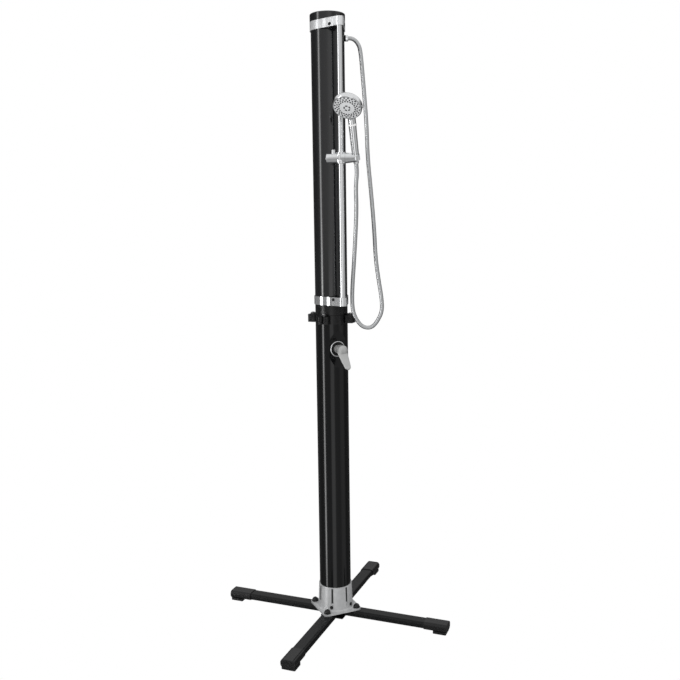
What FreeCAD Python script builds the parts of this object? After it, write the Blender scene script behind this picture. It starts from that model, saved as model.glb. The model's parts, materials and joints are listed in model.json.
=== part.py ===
"""Outdoor shower post: a round tank column on four legs, with a mixer tap, a riser rail
and a handset on a hose.

Millimetres. +Z is up and the floor is z = 0. The origin is on the column's axis, at the
floor. The mixer and the rail face -Y. Azimuths are in degrees round the column, 0 at the
front (-Y) and positive towards +X.
"""
import FreeCAD, Part
import math
import os

os.makedirs("parts", exist_ok=True)
V = FreeCAD.Vector
X, Y, Z = V(1, 0, 0), V(0, 1, 0), V(0, 0, 1)
FRONT = V(0, -1, 0)

# ---------------------------------------------------------------- driving dimensions
# clearances
TOUCH = 0.1            # gap between fixed pieces that slip into each other
RUNNING = 0.05         # radial gap of a shaft or piece that turns or slides
SEAM = 0.5             # visible joint between two pieces that move on each other

# legs and feet
LEG_WIDTH = 50.0
LEG_HEIGHT = 25.0
LEG_CORNER = 10.0
LEG_WALL = 2.5
LEG_INNER_END = 26.0   # the legs stop this far from the axis
LEG_OUTER_END = 433.0
LEG_CLEARANCE = 10.0   # floor to underside of the leg
CAP_WALL = 2.2
CAP_END = 3.5
CAP_LENGTH = 86.0
SOLE_LENGTH = 52.0
SOLE_WIDTH = 50.0

# hub plate and base fasteners
HUB_SIDE = 88.0
HUB_THICK = 4.0
LEG_BOLT_PCR = 84.0    # distance of the leg bolts from the axis
LEG_BOLT_R = 4.0
LEG_BOLT_HEAD_FLATS = 13.0
LEG_BOLT_HEAD = 5.0
LEG_NUT_HEIGHT = 6.5
BOLT_OVERHANG = 2.0
HUB_SCREW_PCR = 38.0
HUB_SCREW_R = 4.0
HUB_SCREW_HEAD_R = 7.0
HUB_SCREW_HEAD = 3.4
BOLT_CAP_R = 12.6
BOLT_CAP_DOME_R = 11.4
BOLT_CAP_RIM = 2.4
BOLT_CAP_HEIGHT = 15.0
BOLT_CAP_WALL = 2.0

# base collar
FLANGE_SIDE = 150.0
FLANGE_THICK = 6.0
FLANGE_CORNER = 16.0
SEAT_THICK = 8.0       # floor that the column stands on
SEAT_HOLE_R = 24.0
NECK_TOP = 130.5
NECK_TOP_WALL = 3.1
NECK_FOOT_R = 64.2
NECK_FILLET = 7.0
GROOVE_COUNT = 7
GROOVE_AZIMUTH = -34.3
GROOVE_TOP_R = 2.0
GROOVE_FOOT_R = 4.0
GROOVE_LENGTH = 66.0
CLAMP_SCREW_AZIMUTHS = (-37.0, 37.0, 143.0, -143.0)
CLAMP_SCREW_Z = 55.5
CLAMP_SCREW_R = 4.0
CLAMP_SCREW_HEAD_R = 6.4
CLAMP_SCREW_HEAD = 4.6

# column
TUBE_R = 58.0
TUBE_WALL = 3.0
LOWER_TUBE_TOP = 1113.5
UPPER_TUBE_BOTTOM = 1179.5
UPPER_TUBE_TOP = 2171.0
PLUG_HEIGHT = 12.0
SPIGOT_WALL = 5.0
SPIGOT_LENGTH = 24.0
COUPLING_JOINT = 1145.0   # height of the joint between the two couplings
GASKET_THICK = 2.0
COUPLING_WEB = 10.0
SEAL_WIRE_R = 1.6
TOP_CAP_BOTTOM = 2151.7
TOP_CAP_WALL = 2.8
TOP_CAP_TOP = 4.0
TOP_CAP_EDGE = 4.0
CAP_HEADROOM = 3.0
TOP_PLUG_DROP = 6.0

# lugs of the coupling
LUG_AZIMUTHS = (-45.0, 45.0, 135.0, -135.0)
LUG_REACH = 86.0
LUG_WIDTH = 39.0
LUG_CORNER = 6.0
LUG_SLOT = 6.6
LUG_BOLT_PCR = 72.0
LUG_BOLT_R = 3.0
LUG_HEAD_R = 6.0
LUG_HEAD = 3.6
TAB_THICK = 3.0
TAB_REACH = 79.0
TAB_WIDTH = 22.0
LUG_NUT_FLATS = 10.0
LUG_NUT_HEIGHT = 5.2
LUG_NUT_RISE = 7.0     # underside of the lug to the nut
LUG_LIFT = 2.5         # underside of the lug above the tube's end

# rail and its brackets
RAIL_OUT = 101.5       # rail axis in front of the column axis
RAIL_R = 10.0
RAIL_WALL = 1.5
BAND_HEIGHT = 29.5
BAND_NOSE_R = 14.5
BAND_WALL = 2.9
NOSE_WALL = 2.5
LOWER_BAND_Z = 1182.8
UPPER_BAND_Z = 2121.2
BLOCK_INSET = 1.0
RAIL_STOP = 3.0        # floor of the blind rail bore
BAND_SCREW_DROPS = {LOWER_BAND_Z: -6.5, UPPER_BAND_Z: 6.5}   # below the band's mid-height
BAND_SCREW_SHARE = 0.66  # place of the screw along the band's flank
BAND_SCREW_R = 2.5
BAND_SCREW_HEAD_R = 4.2
BAND_SCREW_HEAD = 1.6
BAND_SCREW_LENGTH = 14.0

# water outlet near the top
OUTLET_AZIMUTH = 66.0
OUTLET_Z = 2098.0
NIPPLE_R = 8.0
NIPPLE_BORE_R = 5.0
NIPPLE_INNER = 46.0    # its inner end, from the axis
WASHER_R = 10.5
WASHER_THICK = 4.6
OUTLET_NUT_R = 10.5
OUTLET_NUT_LENGTH = 8.5

# mixer pocket in the lower tube
POCKET_FLAT = 49.0     # distance of the flat from the axis
POCKET_Z0 = 995.5
POCKET_Z1 = 1056.0
POCKET_RAMP_TOP = 32.0
POCKET_RAMP_FOOT = 38.0
MIXER_Z = 1024.5
MIXER_BODY_R = 21.0
MIXER_BODY_BACK = 6.0  # rear face, in front of the axis
MIXER_NOSE_R = 17.8
MIXER_NOSE_PROUD = 1.0
SEAT_PLATE = 3.0
ESCUTCHEON_R = 28.2
ESCUTCHEON_WIDTH = 3.2
ESCUTCHEON_PROUD = 5.0
CARTRIDGE_R = 12.5
CARTRIDGE_LENGTH = 34.0
CARTRIDGE_NUT_BORE_R = 8.0
CARTRIDGE_NUT = 4.0
SLEEVE_R = 14.5
SLEEVE_BORE_R = 10.5
STEM_R = 4.0
STEM_DISC = 4.0
STEM_PLATE_OUT = 56.0
LEVER_PIVOT_OUT = 72.0  # lever pin in front of the axis
LEVER_BARREL_R = 16.2   # the sleeve's rounded end, about the pin
LEVER_PIN_R = 2.5
HUB_R = 18.0
HUB_FRONT_OUT = 104.0
TONGUE_WIDTH = 7.0
TONGUE_R = 5.5
BLADE_ANGLE = 45.0     # below the horizontal
BLADE_LENGTH = 80.0
BLADE_ROOT_WIDTH = 33.0
BLADE_TIP_WIDTH = 19.0
BLADE_THICK = 8.0

# pipes and inlet
PIPE_R = 6.0
PIPE_BORE_R = 4.8
PIPE_BEND_R = 16.0
PIPE_BACK = 30.0       # pipes behind the axis
PORT_SPREAD = 9.0
FEED_OFFSET = 27.0
FEED_END_Z = 1204.0
HOT_END_Z = 2090.0
MANIFOLD_Z = 220.0
MANIFOLD_HEIGHT = 24.0
MANIFOLD_INNER = 14.0
MANIFOLD_GAP = 14.0    # its rear face to the tube's wall
INLET_R = 10.48        # G 1/2 male thread
INLET_BORE_R = 6.5
INLET_NECK_R = 9.6      # behind the thread, in the tube's wall
INLET_NECK_END = 60.0
INLET_REACH = 76.0

# slider on the rail, in its own frame: X along the slider, turned about the rail
SLIDER_Z = 1688.5
SLIDER_TURN = -42.0
SLIDER_R = 15.3
SLIDER_LEFT = 49.0
SLIDER_RIGHT = 19.0
SLIDER_END_R = 17.8
BOSS_R = 15.6
BOSS_HEIGHT = 38.0
BUSH_WALL = 2.4
BUSH_SLIT = 2.0
BUTTON_OUT = 27.0
BUTTON_R = 7.6
BUTTON_TOP = 28.5
BUTTON_FOOT = 3.0
SPRING_SEAT = -8.0
SPRING_WIRE_R = 0.7
SPRING_R = 5.0
SPRING_TURNS = 5

# cradle, tilted about the slider's own axis
CRADLE_TILT = 18.0
CRADLE_END = 66.0
CRADLE_END_HALF_HEIGHT = 10.6
CRADLE_NOSE_R = 14.8   # plan of the end, round the handset
PIVOT_R = 8.0
PIVOT_LENGTH = 11.0
PIVOT_SCREW_R = 2.5
PIVOT_SCREW_HEAD_R = 4.4
PIVOT_SCREW_HEAD = 3.0
CRADLE_WEB = 2.5
SEAT_OUT = 52.5        # handset axis along the slider
CRADLE_SLOT = 15.2

# handset, along its own handle
NUT_TOP = 14.0
NUT_TOP_R = 12.3
NUT_LENGTH = 34.0
NUT_FOOT_R = 8.8
NUT_BORE_R = 6.2
TAIL_R = 6.0           # threaded tail of the handset inside the nut
TAIL_LENGTH = 15.0
WATERWAY_R = 4.0
HANDLE_FOOT = 14.3
HANDLE_FOOT_R = 12.3
HANDLE_NECK = 114.0
HANDLE_NECK_R = 13.2
HANDLE_END = 138.0
COLLAR_Z = 108.5
COLLAR_HEIGHT = 4.0
COLLAR_BORE_R = 11.4
COLLAR_PROUD = 0.5
HEAD_RISE = 132.9      # foot of the head's disc along the handle
HEAD_BEND = 31.0       # head against handle
HEAD_R = 49.0
HEAD_DEPTH = 34.0
HEAD_RIM = 13.0        # depth of the head's straight side
HEAD_FORWARD = 10.0    # foot of the disc in front of the handle's axis
FACE_R = 45.6
FACE_DEPTH = 8.5
FACE_CROWN = 4.0
FACE_PROUD = 1.0
DIAL_WIDTH = 2.9
DIAL_THICK = 3.0
DIAL_TAB_WIDTH = 9.0
DIAL_TAB_REACH = 52.5
NOZZLE_RINGS = ((40.8, 0.0), (34.2, 9.0), (27.6, 18.0))   # radius and turn of each ring
NOZZLES_PER_RING = 20
NOZZLE_R = 1.3
NOZZLE_PROUD = 0.9
NOZZLE_DEPTH = 3.0
SLOT_COUNT = 5
SLOT_RING_R = 9.5
SLOT_LENGTH = 7.0
SLOT_WIDTH = 3.2
SLOT_DEPTH = 3.0

# hose: the points between its two ends, chosen by hand
HOSE_R = 7.0
HOSE_TAIL = 32.0       # straight run below the handset
HOSE_POINTS = (
    (72.5, -32.3, 2098.0), (82.5, -37.0, 2094.0), (92.0, -41.5, 2084.5), (100.0, -46.5, 2067.0),
    (103.0, -50.5, 2034.0), (105.5, -55.5, 1979.0), (109.0, -62.5, 1900.0), (112.5, -70.5, 1803.0),
    (112.0, -77.5, 1693.0), (119.0, -89.0, 1571.0), (124.5, -99.5, 1449.5), (126.0, -106.0, 1344.5),
    (133.5, -115.0, 1266.0), (141.0, -122.0, 1206.0), (141.5, -125.5, 1159.5), (124.5, -120.5, 1123.0),
    (103.5, -114.0, 1100.5), (75.0, -103.5, 1103.5), (52.5, -96.5, 1132.0), (39.5, -93.5, 1170.5),
    (38.5, -97.5, 1241.0), (42.5, -105.0, 1328.0), (46.0, -113.0, 1425.0), (48.5, -119.0, 1519.5),
    (42.5, -127.0, 1594.5),
)

# ---------------------------------------------------------------- derived sizes
LEG_TOP = LEG_CLEARANCE + LEG_HEIGHT
FLANGE_TOP = LEG_TOP + FLANGE_THICK
COLUMN_SEAT = LEG_TOP + SEAT_THICK
TUBE_BORE_R = TUBE_R - TUBE_WALL
SPIGOT_R = TUBE_BORE_R - TOUCH
NECK_BORE_R = TUBE_R + TOUCH
NECK_TOP_R = NECK_BORE_R + NECK_TOP_WALL
GASKET_BOTTOM = COUPLING_JOINT - GASKET_THICK / 2
GASKET_TOP = COUPLING_JOINT + GASKET_THICK / 2
LUG_FOOT = LOWER_TUBE_TOP + LUG_LIFT
BUSH_R = RAIL_R + RUNNING + BUSH_WALL
SEAT_RING_R = ESCUTCHEON_R - ESCUTCHEON_WIDTH
CARTRIDGE_OUT = POCKET_FLAT + MIXER_NOSE_PROUD - CARTRIDGE_NUT
NIPPLE_END = TUBE_R + WASHER_THICK + OUTLET_NUT_LENGTH
PIPE_LINES = {
    "feed": V(-FEED_OFFSET, PIPE_BACK, 0),
    "hot": V(PORT_SPREAD, PIPE_BACK, 0),
    "mixed": V(0, -(MIXER_BODY_BACK + POCKET_FLAT - TUBE_WALL) / 2, 0),
}


# ---------------------------------------------------------------- helpers
def cyl(r, length, base, axis=Z):
    return Part.makeCylinder(r, length, base, axis)


def ring(r_out, r_in, length, base, axis=Z):
    return cyl(r_out, length, base, axis).cut(cyl(r_in, length, base, axis))


def block(x0, x1, y0, y1, z0, z1):
    return Part.makeBox(x1 - x0, y1 - y0, z1 - z0, V(x0, y0, z0))


def round_edges(solid, radius, along):
    """Fillet the straight edges that run along one direction."""
    picked = []
    for edge in solid.Edges:
        if edge.Curve.TypeId != "Part::GeomLine":
            continue
        if abs(edge.tangentAt(edge.FirstParameter).dot(along)) > 0.999:
            picked.append(edge)
    return solid.makeFillet(radius, picked)


def bar(x0, x1, half_width, z0, z1, corner):
    """A bar along X with rounded long edges."""
    return round_edges(block(x0, x1, -half_width, half_width, z0, z1), corner, X)


def prism(points, direction):
    """Extrude a closed polygon."""
    return Part.Face(Part.makePolygon(list(points) + [points[0]])).extrude(direction)


def turned_profile(steps, base=V(0, 0, 0), axis=Z, side=X):
    """Turn a closed outline of (radius, height) about an axis. A step of four numbers is an
    arc: the point it passes, then its end."""
    def at(r, h):
        return base + side * r + axis * h
    edges = []
    last = at(*steps[0])
    for step in list(steps[1:]) + [steps[0]]:
        end = at(*step[-2:])
        if len(step) == 4:
            edges.append(Part.Arc(last, at(*step[:2]), end).toShape())
        else:
            edges.append(Part.makeLine(last, end))
        last = end
    return Part.Face(Part.Wire(edges)).revolve(base, axis, 360)


def dome(radius, foot, rise):
    """Outline steps from the rim of a spherical dome to its top on the axis."""
    ball = (radius ** 2 + rise ** 2) / (2 * rise)
    half = math.asin(radius / ball) / 2
    if rise > radius:
        half = (math.pi - math.asin(radius / ball)) / 2
    return [(ball * math.sin(half), foot + rise - ball * (1 - math.cos(half)), 0, foot + rise)]


def hexagon(flats, height, base):
    """An upright hexagonal prism."""
    reach = flats / math.sqrt(3)
    corners = []
    for k in range(6):
        turn = math.radians(60 * k)
        corners.append(base + V(reach * math.cos(turn), reach * math.sin(turn), 0))
    return prism(corners, Z * height)


def about_z(shape, degrees, centre=V(0, 0, 0)):
    copy = shape.copy()
    copy.rotate(centre, Z, degrees)
    return copy


def about_x(shape, degrees, centre=V(0, 0, 0)):
    copy = shape.copy()
    copy.rotate(centre, X, degrees)
    return copy


def heading(azimuth):
    """Unit vector that points outwards at an azimuth."""
    turn = math.radians(azimuth)
    return V(math.sin(turn), -math.cos(turn), 0)


def pipe_path(points):
    """Straight runs joined by tangent arcs, each as large as its two runs allow. Returns
    the wire and the arc radii."""
    edges = []
    radii = []
    start = points[0]
    for before, corner, after in zip(points, points[1:], points[2:]):
        into = (corner - before).normalize()
        out = (after - corner).normalize()
        half = into.getAngle(out) / 2
        shorter = min(corner.distanceToPoint(before), corner.distanceToPoint(after))
        setback = 0.45 * shorter
        radii.append(setback / math.tan(half))
        a = corner - into * setback
        b = corner + out * setback
        bisector = (out - into).normalize()
        middle = corner + bisector * (radii[-1] * (1 / math.cos(half) - 1))
        edges.append(Part.LineSegment(start, a).toShape())
        edges.append(Part.Arc(a, middle, b).toShape())
        start = b
    edges.append(Part.LineSegment(start, points[-1]).toShape())
    return Part.Wire(edges), radii


def swept(points, radius):
    """A round rod along a pipe path."""
    wire, radii = pipe_path(points)
    along = (points[1] - points[0]).normalize()
    section = Part.Wire([Part.Circle(points[0], along, radius).toShape()])
    return wire.makePipeShell([section], True, False), wire, radii


def pipe(points):
    """A hollow water pipe."""
    return swept(points, PIPE_R)[0].cut(swept(points, PIPE_BORE_R)[0])


def bend(before, corner, after):
    """Three or five points that turn a pipe round a square corner at its bend radius."""
    into = (corner - before).normalize() * PIPE_BEND_R
    out = (after - corner).normalize() * PIPE_BEND_R
    return [corner - into * 0.6, corner + out * 0.6]


def group(shapes):
    return Part.makeCompound(list(shapes))


def save(name, shape):
    solids = shape.Solids
    body = solids[0] if len(solids) == 1 else group(solids)
    body.exportStep("parts/" + name + ".step")
    print(name, len(solids), "solid(s),", round(sum(s.Volume for s in solids) / 1000, 1), "cm3")


# ---------------------------------------------------------------- base
LEG_TURNS = {"front_left": -45.0, "front_right": 45.0, "rear_right": 135.0, "rear_left": -135.0}


def on_leg(shape, azimuth):
    """Turn a shape that lies along +X onto a leg."""
    return about_z(shape, azimuth - 90)


def leg():
    tube = bar(LEG_INNER_END, LEG_OUTER_END, LEG_WIDTH / 2, LEG_CLEARANCE, LEG_TOP, LEG_CORNER)
    hollow = bar(LEG_INNER_END, LEG_OUTER_END, LEG_WIDTH / 2 - LEG_WALL, LEG_CLEARANCE + LEG_WALL,
                 LEG_TOP - LEG_WALL, LEG_CORNER - LEG_WALL)
    bolt_hole = cyl(LEG_BOLT_R + TOUCH, LEG_HEIGHT, V(LEG_BOLT_PCR, 0, LEG_CLEARANCE))
    screw_hole = cyl(HUB_SCREW_R + TOUCH, LEG_HEIGHT, V(HUB_SCREW_PCR, 0, LEG_CLEARANCE))
    return tube.cut(group([hollow, bolt_hole, screw_hole]))


def foot_cap():
    start = LEG_OUTER_END + CAP_END - CAP_LENGTH
    end = LEG_OUTER_END + CAP_END
    shell = bar(start, end, LEG_WIDTH / 2 + TOUCH + CAP_WALL, LEG_CLEARANCE - TOUCH - CAP_WALL,
                LEG_TOP + TOUCH + CAP_WALL, LEG_CORNER + CAP_WALL)
    rim = [e for e in shell.Edges if all(abs(v.X - end) < 0.01 for v in e.Vertexes)]
    shell = shell.makeFillet(CAP_END * 0.7, rim)
    sole = round_edges(block(end - SOLE_LENGTH, end - CAP_END, -SOLE_WIDTH / 2, SOLE_WIDTH / 2, 0,
                             LEG_CLEARANCE - TOUCH), CAP_END, Z)
    socket = bar(start, LEG_OUTER_END, LEG_WIDTH / 2 + TOUCH, LEG_CLEARANCE - TOUCH,
                 LEG_TOP + TOUCH, LEG_CORNER + TOUCH)
    return shell.fuse(sole).cut(socket).removeSplitter()


def hub_plate():
    half = HUB_SIDE / 2
    plate = block(-half, half, -half, half, LEG_CLEARANCE - HUB_THICK, LEG_CLEARANCE)
    plate = round_edges(plate, HUB_THICK, Z)
    holes = [cyl(HUB_SCREW_R + TOUCH, HUB_THICK, V(HUB_SCREW_PCR, 0, LEG_CLEARANCE - HUB_THICK))]
    return about_z(plate.cut(group(about_z(holes[0], 90 * k) for k in range(4))), 45)


def base_collar():
    half = FLANGE_SIDE / 2
    flange = round_edges(block(-half, half, -half, half, LEG_TOP, FLANGE_TOP), FLANGE_CORNER, Z)
    knee = NECK_FILLET * (1 - math.sqrt(0.5))
    neck = turned_profile([
        (SEAT_HOLE_R, LEG_TOP), (SEAT_HOLE_R, COLUMN_SEAT), (NECK_BORE_R, COLUMN_SEAT),
        (NECK_BORE_R, NECK_TOP), (NECK_TOP_R, NECK_TOP), (NECK_FOOT_R, FLANGE_TOP + NECK_FILLET),
        (NECK_FOOT_R + knee, FLANGE_TOP + knee, NECK_FOOT_R + NECK_FILLET, FLANGE_TOP),
        (NECK_FOOT_R + NECK_FILLET, LEG_TOP)])
    collar = flange.cut(cyl(SEAT_HOLE_R + 1, FLANGE_THICK, V(0, 0, LEG_TOP))).fuse(neck)
    groove_foot = V(0, -NECK_FOOT_R, FLANGE_TOP + 2.5 * NECK_FILLET)
    groove_top = V(0, -NECK_TOP_R, groove_foot.z + GROOVE_LENGTH)
    groove = Part.makeCone(GROOVE_FOOT_R, GROOVE_TOP_R, groove_foot.distanceToPoint(groove_top),
                           groove_foot, groove_top - groove_foot)
    cutters = [about_z(groove, GROOVE_AZIMUTH + 360 / GROOVE_COUNT * k) for k in range(GROOVE_COUNT)]
    for azimuth in CLAMP_SCREW_AZIMUTHS:
        start = heading(azimuth) * (TUBE_R - 1) + Z * CLAMP_SCREW_Z
        cutters.append(cyl(CLAMP_SCREW_R + TOUCH, 2 * NECK_FILLET, start, heading(azimuth)))
    for azimuth in LEG_TURNS.values():
        out = heading(azimuth)
        cutters.append(cyl(LEG_BOLT_R + TOUCH, FLANGE_THICK, out * LEG_BOLT_PCR + Z * LEG_TOP))
        cutters.append(cyl(HUB_SCREW_R, SEAT_THICK, out * HUB_SCREW_PCR + Z * LEG_TOP))
    return collar.cut(group(cutters))


def leg_bolts():
    shapes = []
    for azimuth in LEG_TURNS.values():
        at = heading(azimuth) * LEG_BOLT_PCR
        head = hexagon(LEG_BOLT_HEAD_FLATS, LEG_BOLT_HEAD, at + Z * (LEG_CLEARANCE - LEG_BOLT_HEAD))
        length = FLANGE_TOP + LEG_NUT_HEIGHT + BOLT_OVERHANG - LEG_CLEARANCE
        shapes.append(head.fuse(cyl(LEG_BOLT_R, length, at + Z * LEG_CLEARANCE)))
    return group(shapes)


def leg_nuts():
    shapes = []
    for azimuth in LEG_TURNS.values():
        at = heading(azimuth) * LEG_BOLT_PCR + Z * FLANGE_TOP
        nut = hexagon(LEG_BOLT_HEAD_FLATS, LEG_NUT_HEIGHT, at)
        shapes.append(nut.cut(cyl(LEG_BOLT_R, LEG_NUT_HEIGHT, at)))
    return group(shapes)


def bolt_caps():
    shapes = []
    nut_reach = LEG_BOLT_HEAD_FLATS / math.sqrt(3) + TOUCH
    room = LEG_NUT_HEIGHT + BOLT_OVERHANG + TOUCH
    shoulder = BOLT_CAP_RIM + 3
    for azimuth in LEG_TURNS.values():
        at = heading(azimuth) * LEG_BOLT_PCR + Z * FLANGE_TOP
        shapes.append(turned_profile(
            [(nut_reach, 0), (BOLT_CAP_R, 0), (BOLT_CAP_R, BOLT_CAP_RIM), (BOLT_CAP_DOME_R, BOLT_CAP_RIM + 1),
             (BOLT_CAP_DOME_R, shoulder)] + dome(BOLT_CAP_DOME_R, shoulder, BOLT_CAP_HEIGHT - shoulder)
            + [(0, room), (nut_reach, room)], base=at))
    return group(shapes)


def hub_screws():
    shapes = []
    under = LEG_CLEARANCE - HUB_THICK
    for azimuth in LEG_TURNS.values():
        at = heading(azimuth) * HUB_SCREW_PCR
        head = cyl(HUB_SCREW_HEAD_R, HUB_SCREW_HEAD, at + Z * (under - HUB_SCREW_HEAD))
        shapes.append(head.fuse(cyl(HUB_SCREW_R, COLUMN_SEAT - 1 - under, at + Z * under)))
    return group(shapes)


def collar_screws():
    slope = (NECK_FOOT_R - NECK_TOP_R) / (NECK_TOP - FLANGE_TOP - NECK_FILLET)
    face = NECK_FOOT_R - slope * (CLAMP_SCREW_Z - FLANGE_TOP - NECK_FILLET)
    lift = slope * CLAMP_SCREW_HEAD_R + TOUCH
    shapes = []
    for azimuth in CLAMP_SCREW_AZIMUTHS:
        out = heading(azimuth)
        shank = cyl(CLAMP_SCREW_R, face + lift - TUBE_R, out * TUBE_R + Z * CLAMP_SCREW_Z, out)
        head = turned_profile(
            [(0, 0), (CLAMP_SCREW_HEAD_R, 0), (CLAMP_SCREW_HEAD_R, 1)]
            + dome(CLAMP_SCREW_HEAD_R, 1, CLAMP_SCREW_HEAD - 1),
            base=out * (face + lift) + Z * CLAMP_SCREW_Z, axis=out, side=Z)
        shapes.append(shank.fuse(head))
    return group(shapes)


# ---------------------------------------------------------------- column
def pocket_cutter(depth):
    """What the pressed pocket takes away in front of a plane at this depth."""
    rise = (TUBE_R + 5 - POCKET_FLAT) / (TUBE_R - POCKET_FLAT)
    inset = POCKET_FLAT - depth
    side = V(-TUBE_R, 0, 0)
    points = [
        side + V(0, -depth, POCKET_Z0), side + V(0, -depth, POCKET_Z1),
        side + V(0, -(TUBE_R + 5) + inset, POCKET_Z1 + POCKET_RAMP_TOP * rise),
        side + V(0, -(TUBE_R + 5) + inset, POCKET_Z0 - POCKET_RAMP_FOOT * rise)]
    front = block(-TUBE_R, TUBE_R, -(TUBE_R + 20), -(TUBE_R + 5) + inset + 0.01,
                  points[3].z, points[2].z)
    return prism(points, X * 2 * TUBE_R).fuse(front)


def lower_tube():
    height = LOWER_TUBE_TOP - COLUMN_SEAT
    outside = cyl(TUBE_R, height, V(0, 0, COLUMN_SEAT)).cut(pocket_cutter(POCKET_FLAT))
    inside = cyl(TUBE_BORE_R, height, V(0, 0, COLUMN_SEAT))
    inside = inside.cut(pocket_cutter(POCKET_FLAT - TUBE_WALL))
    mixer_hole = cyl(MIXER_NOSE_R + TOUCH, TUBE_R, V(0, 0, MIXER_Z), FRONT)
    inlet_hole = cyl(INLET_R + TOUCH, TUBE_R + 1, V(0, 0, MANIFOLD_Z), Y)
    return outside.cut(group([inside, mixer_hole, inlet_hole]))


def pipe_holes(z0, z1):
    return [cyl(PIPE_R + TOUCH, z1 - z0, line + Z * z0) for line in PIPE_LINES.values()]


def coupling_body(spigot_z, ring_z0, ring_z1, web_z0):
    """A spigot that slips into a tube, a ring of the tube's own size and a web."""
    hollow_r = SPIGOT_R - SPIGOT_WALL
    spigot = ring(SPIGOT_R, hollow_r, SPIGOT_LENGTH + 1, V(0, 0, spigot_z))
    body = ring(TUBE_R, hollow_r, ring_z1 - ring_z0, V(0, 0, ring_z0))
    web = cyl(hollow_r + 1, COUPLING_WEB, V(0, 0, web_z0))
    return body.fuse([spigot, web]).cut(group(pipe_holes(web_z0, web_z0 + COUPLING_WEB)))


def lug():
    """One clamp lug with a slot for its bolt and a pocket for the nut, along the front."""
    half = LUG_WIDTH / 2
    ears = block(-half, half, -LUG_REACH, -(TUBE_R - 2), LUG_FOOT, GASKET_BOTTOM)
    ears = round_edges(ears, LUG_CORNER, Z)
    slot = block(-LUG_SLOT / 2, LUG_SLOT / 2, -LUG_REACH - 1, -(LUG_BOLT_PCR - LUG_BOLT_R - TOUCH),
                 LUG_FOOT, GASKET_BOTTOM)
    nut_room = LUG_NUT_FLATS / 2 + TOUCH
    nut_back = LUG_BOLT_PCR - LUG_NUT_FLATS / math.sqrt(3) - TOUCH
    pocket = block(-nut_room, nut_room, -LUG_REACH - 1, -nut_back, LUG_FOOT + LUG_NUT_RISE,
                   LUG_FOOT + LUG_NUT_RISE + LUG_NUT_HEIGHT)
    return ears.cut(group([slot, pocket]))


def lower_coupling():
    body = coupling_body(LOWER_TUBE_TOP - SPIGOT_LENGTH, LOWER_TUBE_TOP, GASKET_BOTTOM,
                         GASKET_BOTTOM - COUPLING_WEB)
    lugs = [about_z(lug(), azimuth) for azimuth in LUG_AZIMUTHS]
    core = cyl(SPIGOT_R - SPIGOT_WALL, GASKET_BOTTOM - LOWER_TUBE_TOP, V(0, 0, LOWER_TUBE_TOP))
    return body.fuse([each.cut(core) for each in lugs])


def upper_coupling():
    body = coupling_body(UPPER_TUBE_BOTTOM - 1, GASKET_TOP, UPPER_TUBE_BOTTOM, GASKET_TOP)
    tab = block(-TAB_WIDTH / 2, TAB_WIDTH / 2, -TAB_REACH, -(TUBE_R - 2), GASKET_TOP,
                GASKET_TOP + TAB_THICK)
    tab = round_edges(tab, LUG_CORNER, Z)
    tab = tab.cut(cyl(LUG_BOLT_R + TOUCH, TAB_THICK, V(0, -LUG_BOLT_PCR, GASKET_TOP)))
    body = body.fuse([about_z(tab, azimuth) for azimuth in LUG_AZIMUTHS])
    groove_z = UPPER_TUBE_BOTTOM + SPIGOT_LENGTH / 2
    groove = ring(SPIGOT_R + 1, SPIGOT_R - 2 * SEAL_WIRE_R, 2 * SEAL_WIRE_R + TOUCH,
                  V(0, 0, groove_z))
    return body.cut(groove)


def tank_seal():
    centre_z = UPPER_TUBE_BOTTOM + SPIGOT_LENGTH / 2 + SEAL_WIRE_R
    return Part.makeTorus(TUBE_BORE_R - SEAL_WIRE_R, SEAL_WIRE_R, V(0, 0, centre_z), Z)


def coupling_gasket():
    plate = cyl(TUBE_R - 1, GASKET_THICK, V(0, 0, GASKET_BOTTOM))
    return plate.cut(group(pipe_holes(GASKET_BOTTOM, GASKET_TOP)))


def lug_bolts():
    shapes = []
    seat = GASKET_TOP + TAB_THICK
    foot = LUG_FOOT + LUG_NUT_RISE - BOLT_OVERHANG
    for azimuth in LUG_AZIMUTHS:
        at = heading(azimuth) * LUG_BOLT_PCR
        head = turned_profile([(0, 0), (LUG_HEAD_R, 0), (LUG_HEAD_R, LUG_HEAD * 0.4)]
                              + dome(LUG_HEAD_R, LUG_HEAD * 0.4, LUG_HEAD * 0.6), base=at + Z * seat)
        shapes.append(head.fuse(cyl(LUG_BOLT_R, seat - foot, at + Z * foot)))
    return group(shapes)


def lug_nuts():
    shapes = []
    for azimuth in LUG_AZIMUTHS:
        at = Z * (LUG_FOOT + LUG_NUT_RISE + TOUCH / 2)
        nut = hexagon(LUG_NUT_FLATS, LUG_NUT_HEIGHT - TOUCH, at)
        nut = about_z(nut, 30).cut(cyl(LUG_BOLT_R, LUG_NUT_HEIGHT, at))
        nut.translate(FRONT * LUG_BOLT_PCR)
        shapes.append(about_z(nut, azimuth))
    return group(shapes)


def upper_tube():
    tube = ring(TUBE_R, TUBE_BORE_R, UPPER_TUBE_TOP - UPPER_TUBE_BOTTOM, V(0, 0, UPPER_TUBE_BOTTOM))
    return tube.cut(cyl(NIPPLE_R + TOUCH, TUBE_R + 1, V(0, 0, OUTLET_Z), heading(OUTLET_AZIMUTH)))


def tank_top_plug():
    top = UPPER_TUBE_TOP - TOP_PLUG_DROP
    cup = ring(SPIGOT_R, SPIGOT_R - SPIGOT_WALL, PLUG_HEIGHT, V(0, 0, top - PLUG_HEIGHT))
    return cup.fuse(cyl(SPIGOT_R, PLUG_HEIGHT / 3, V(0, 0, top - PLUG_HEIGHT / 3)))


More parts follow.
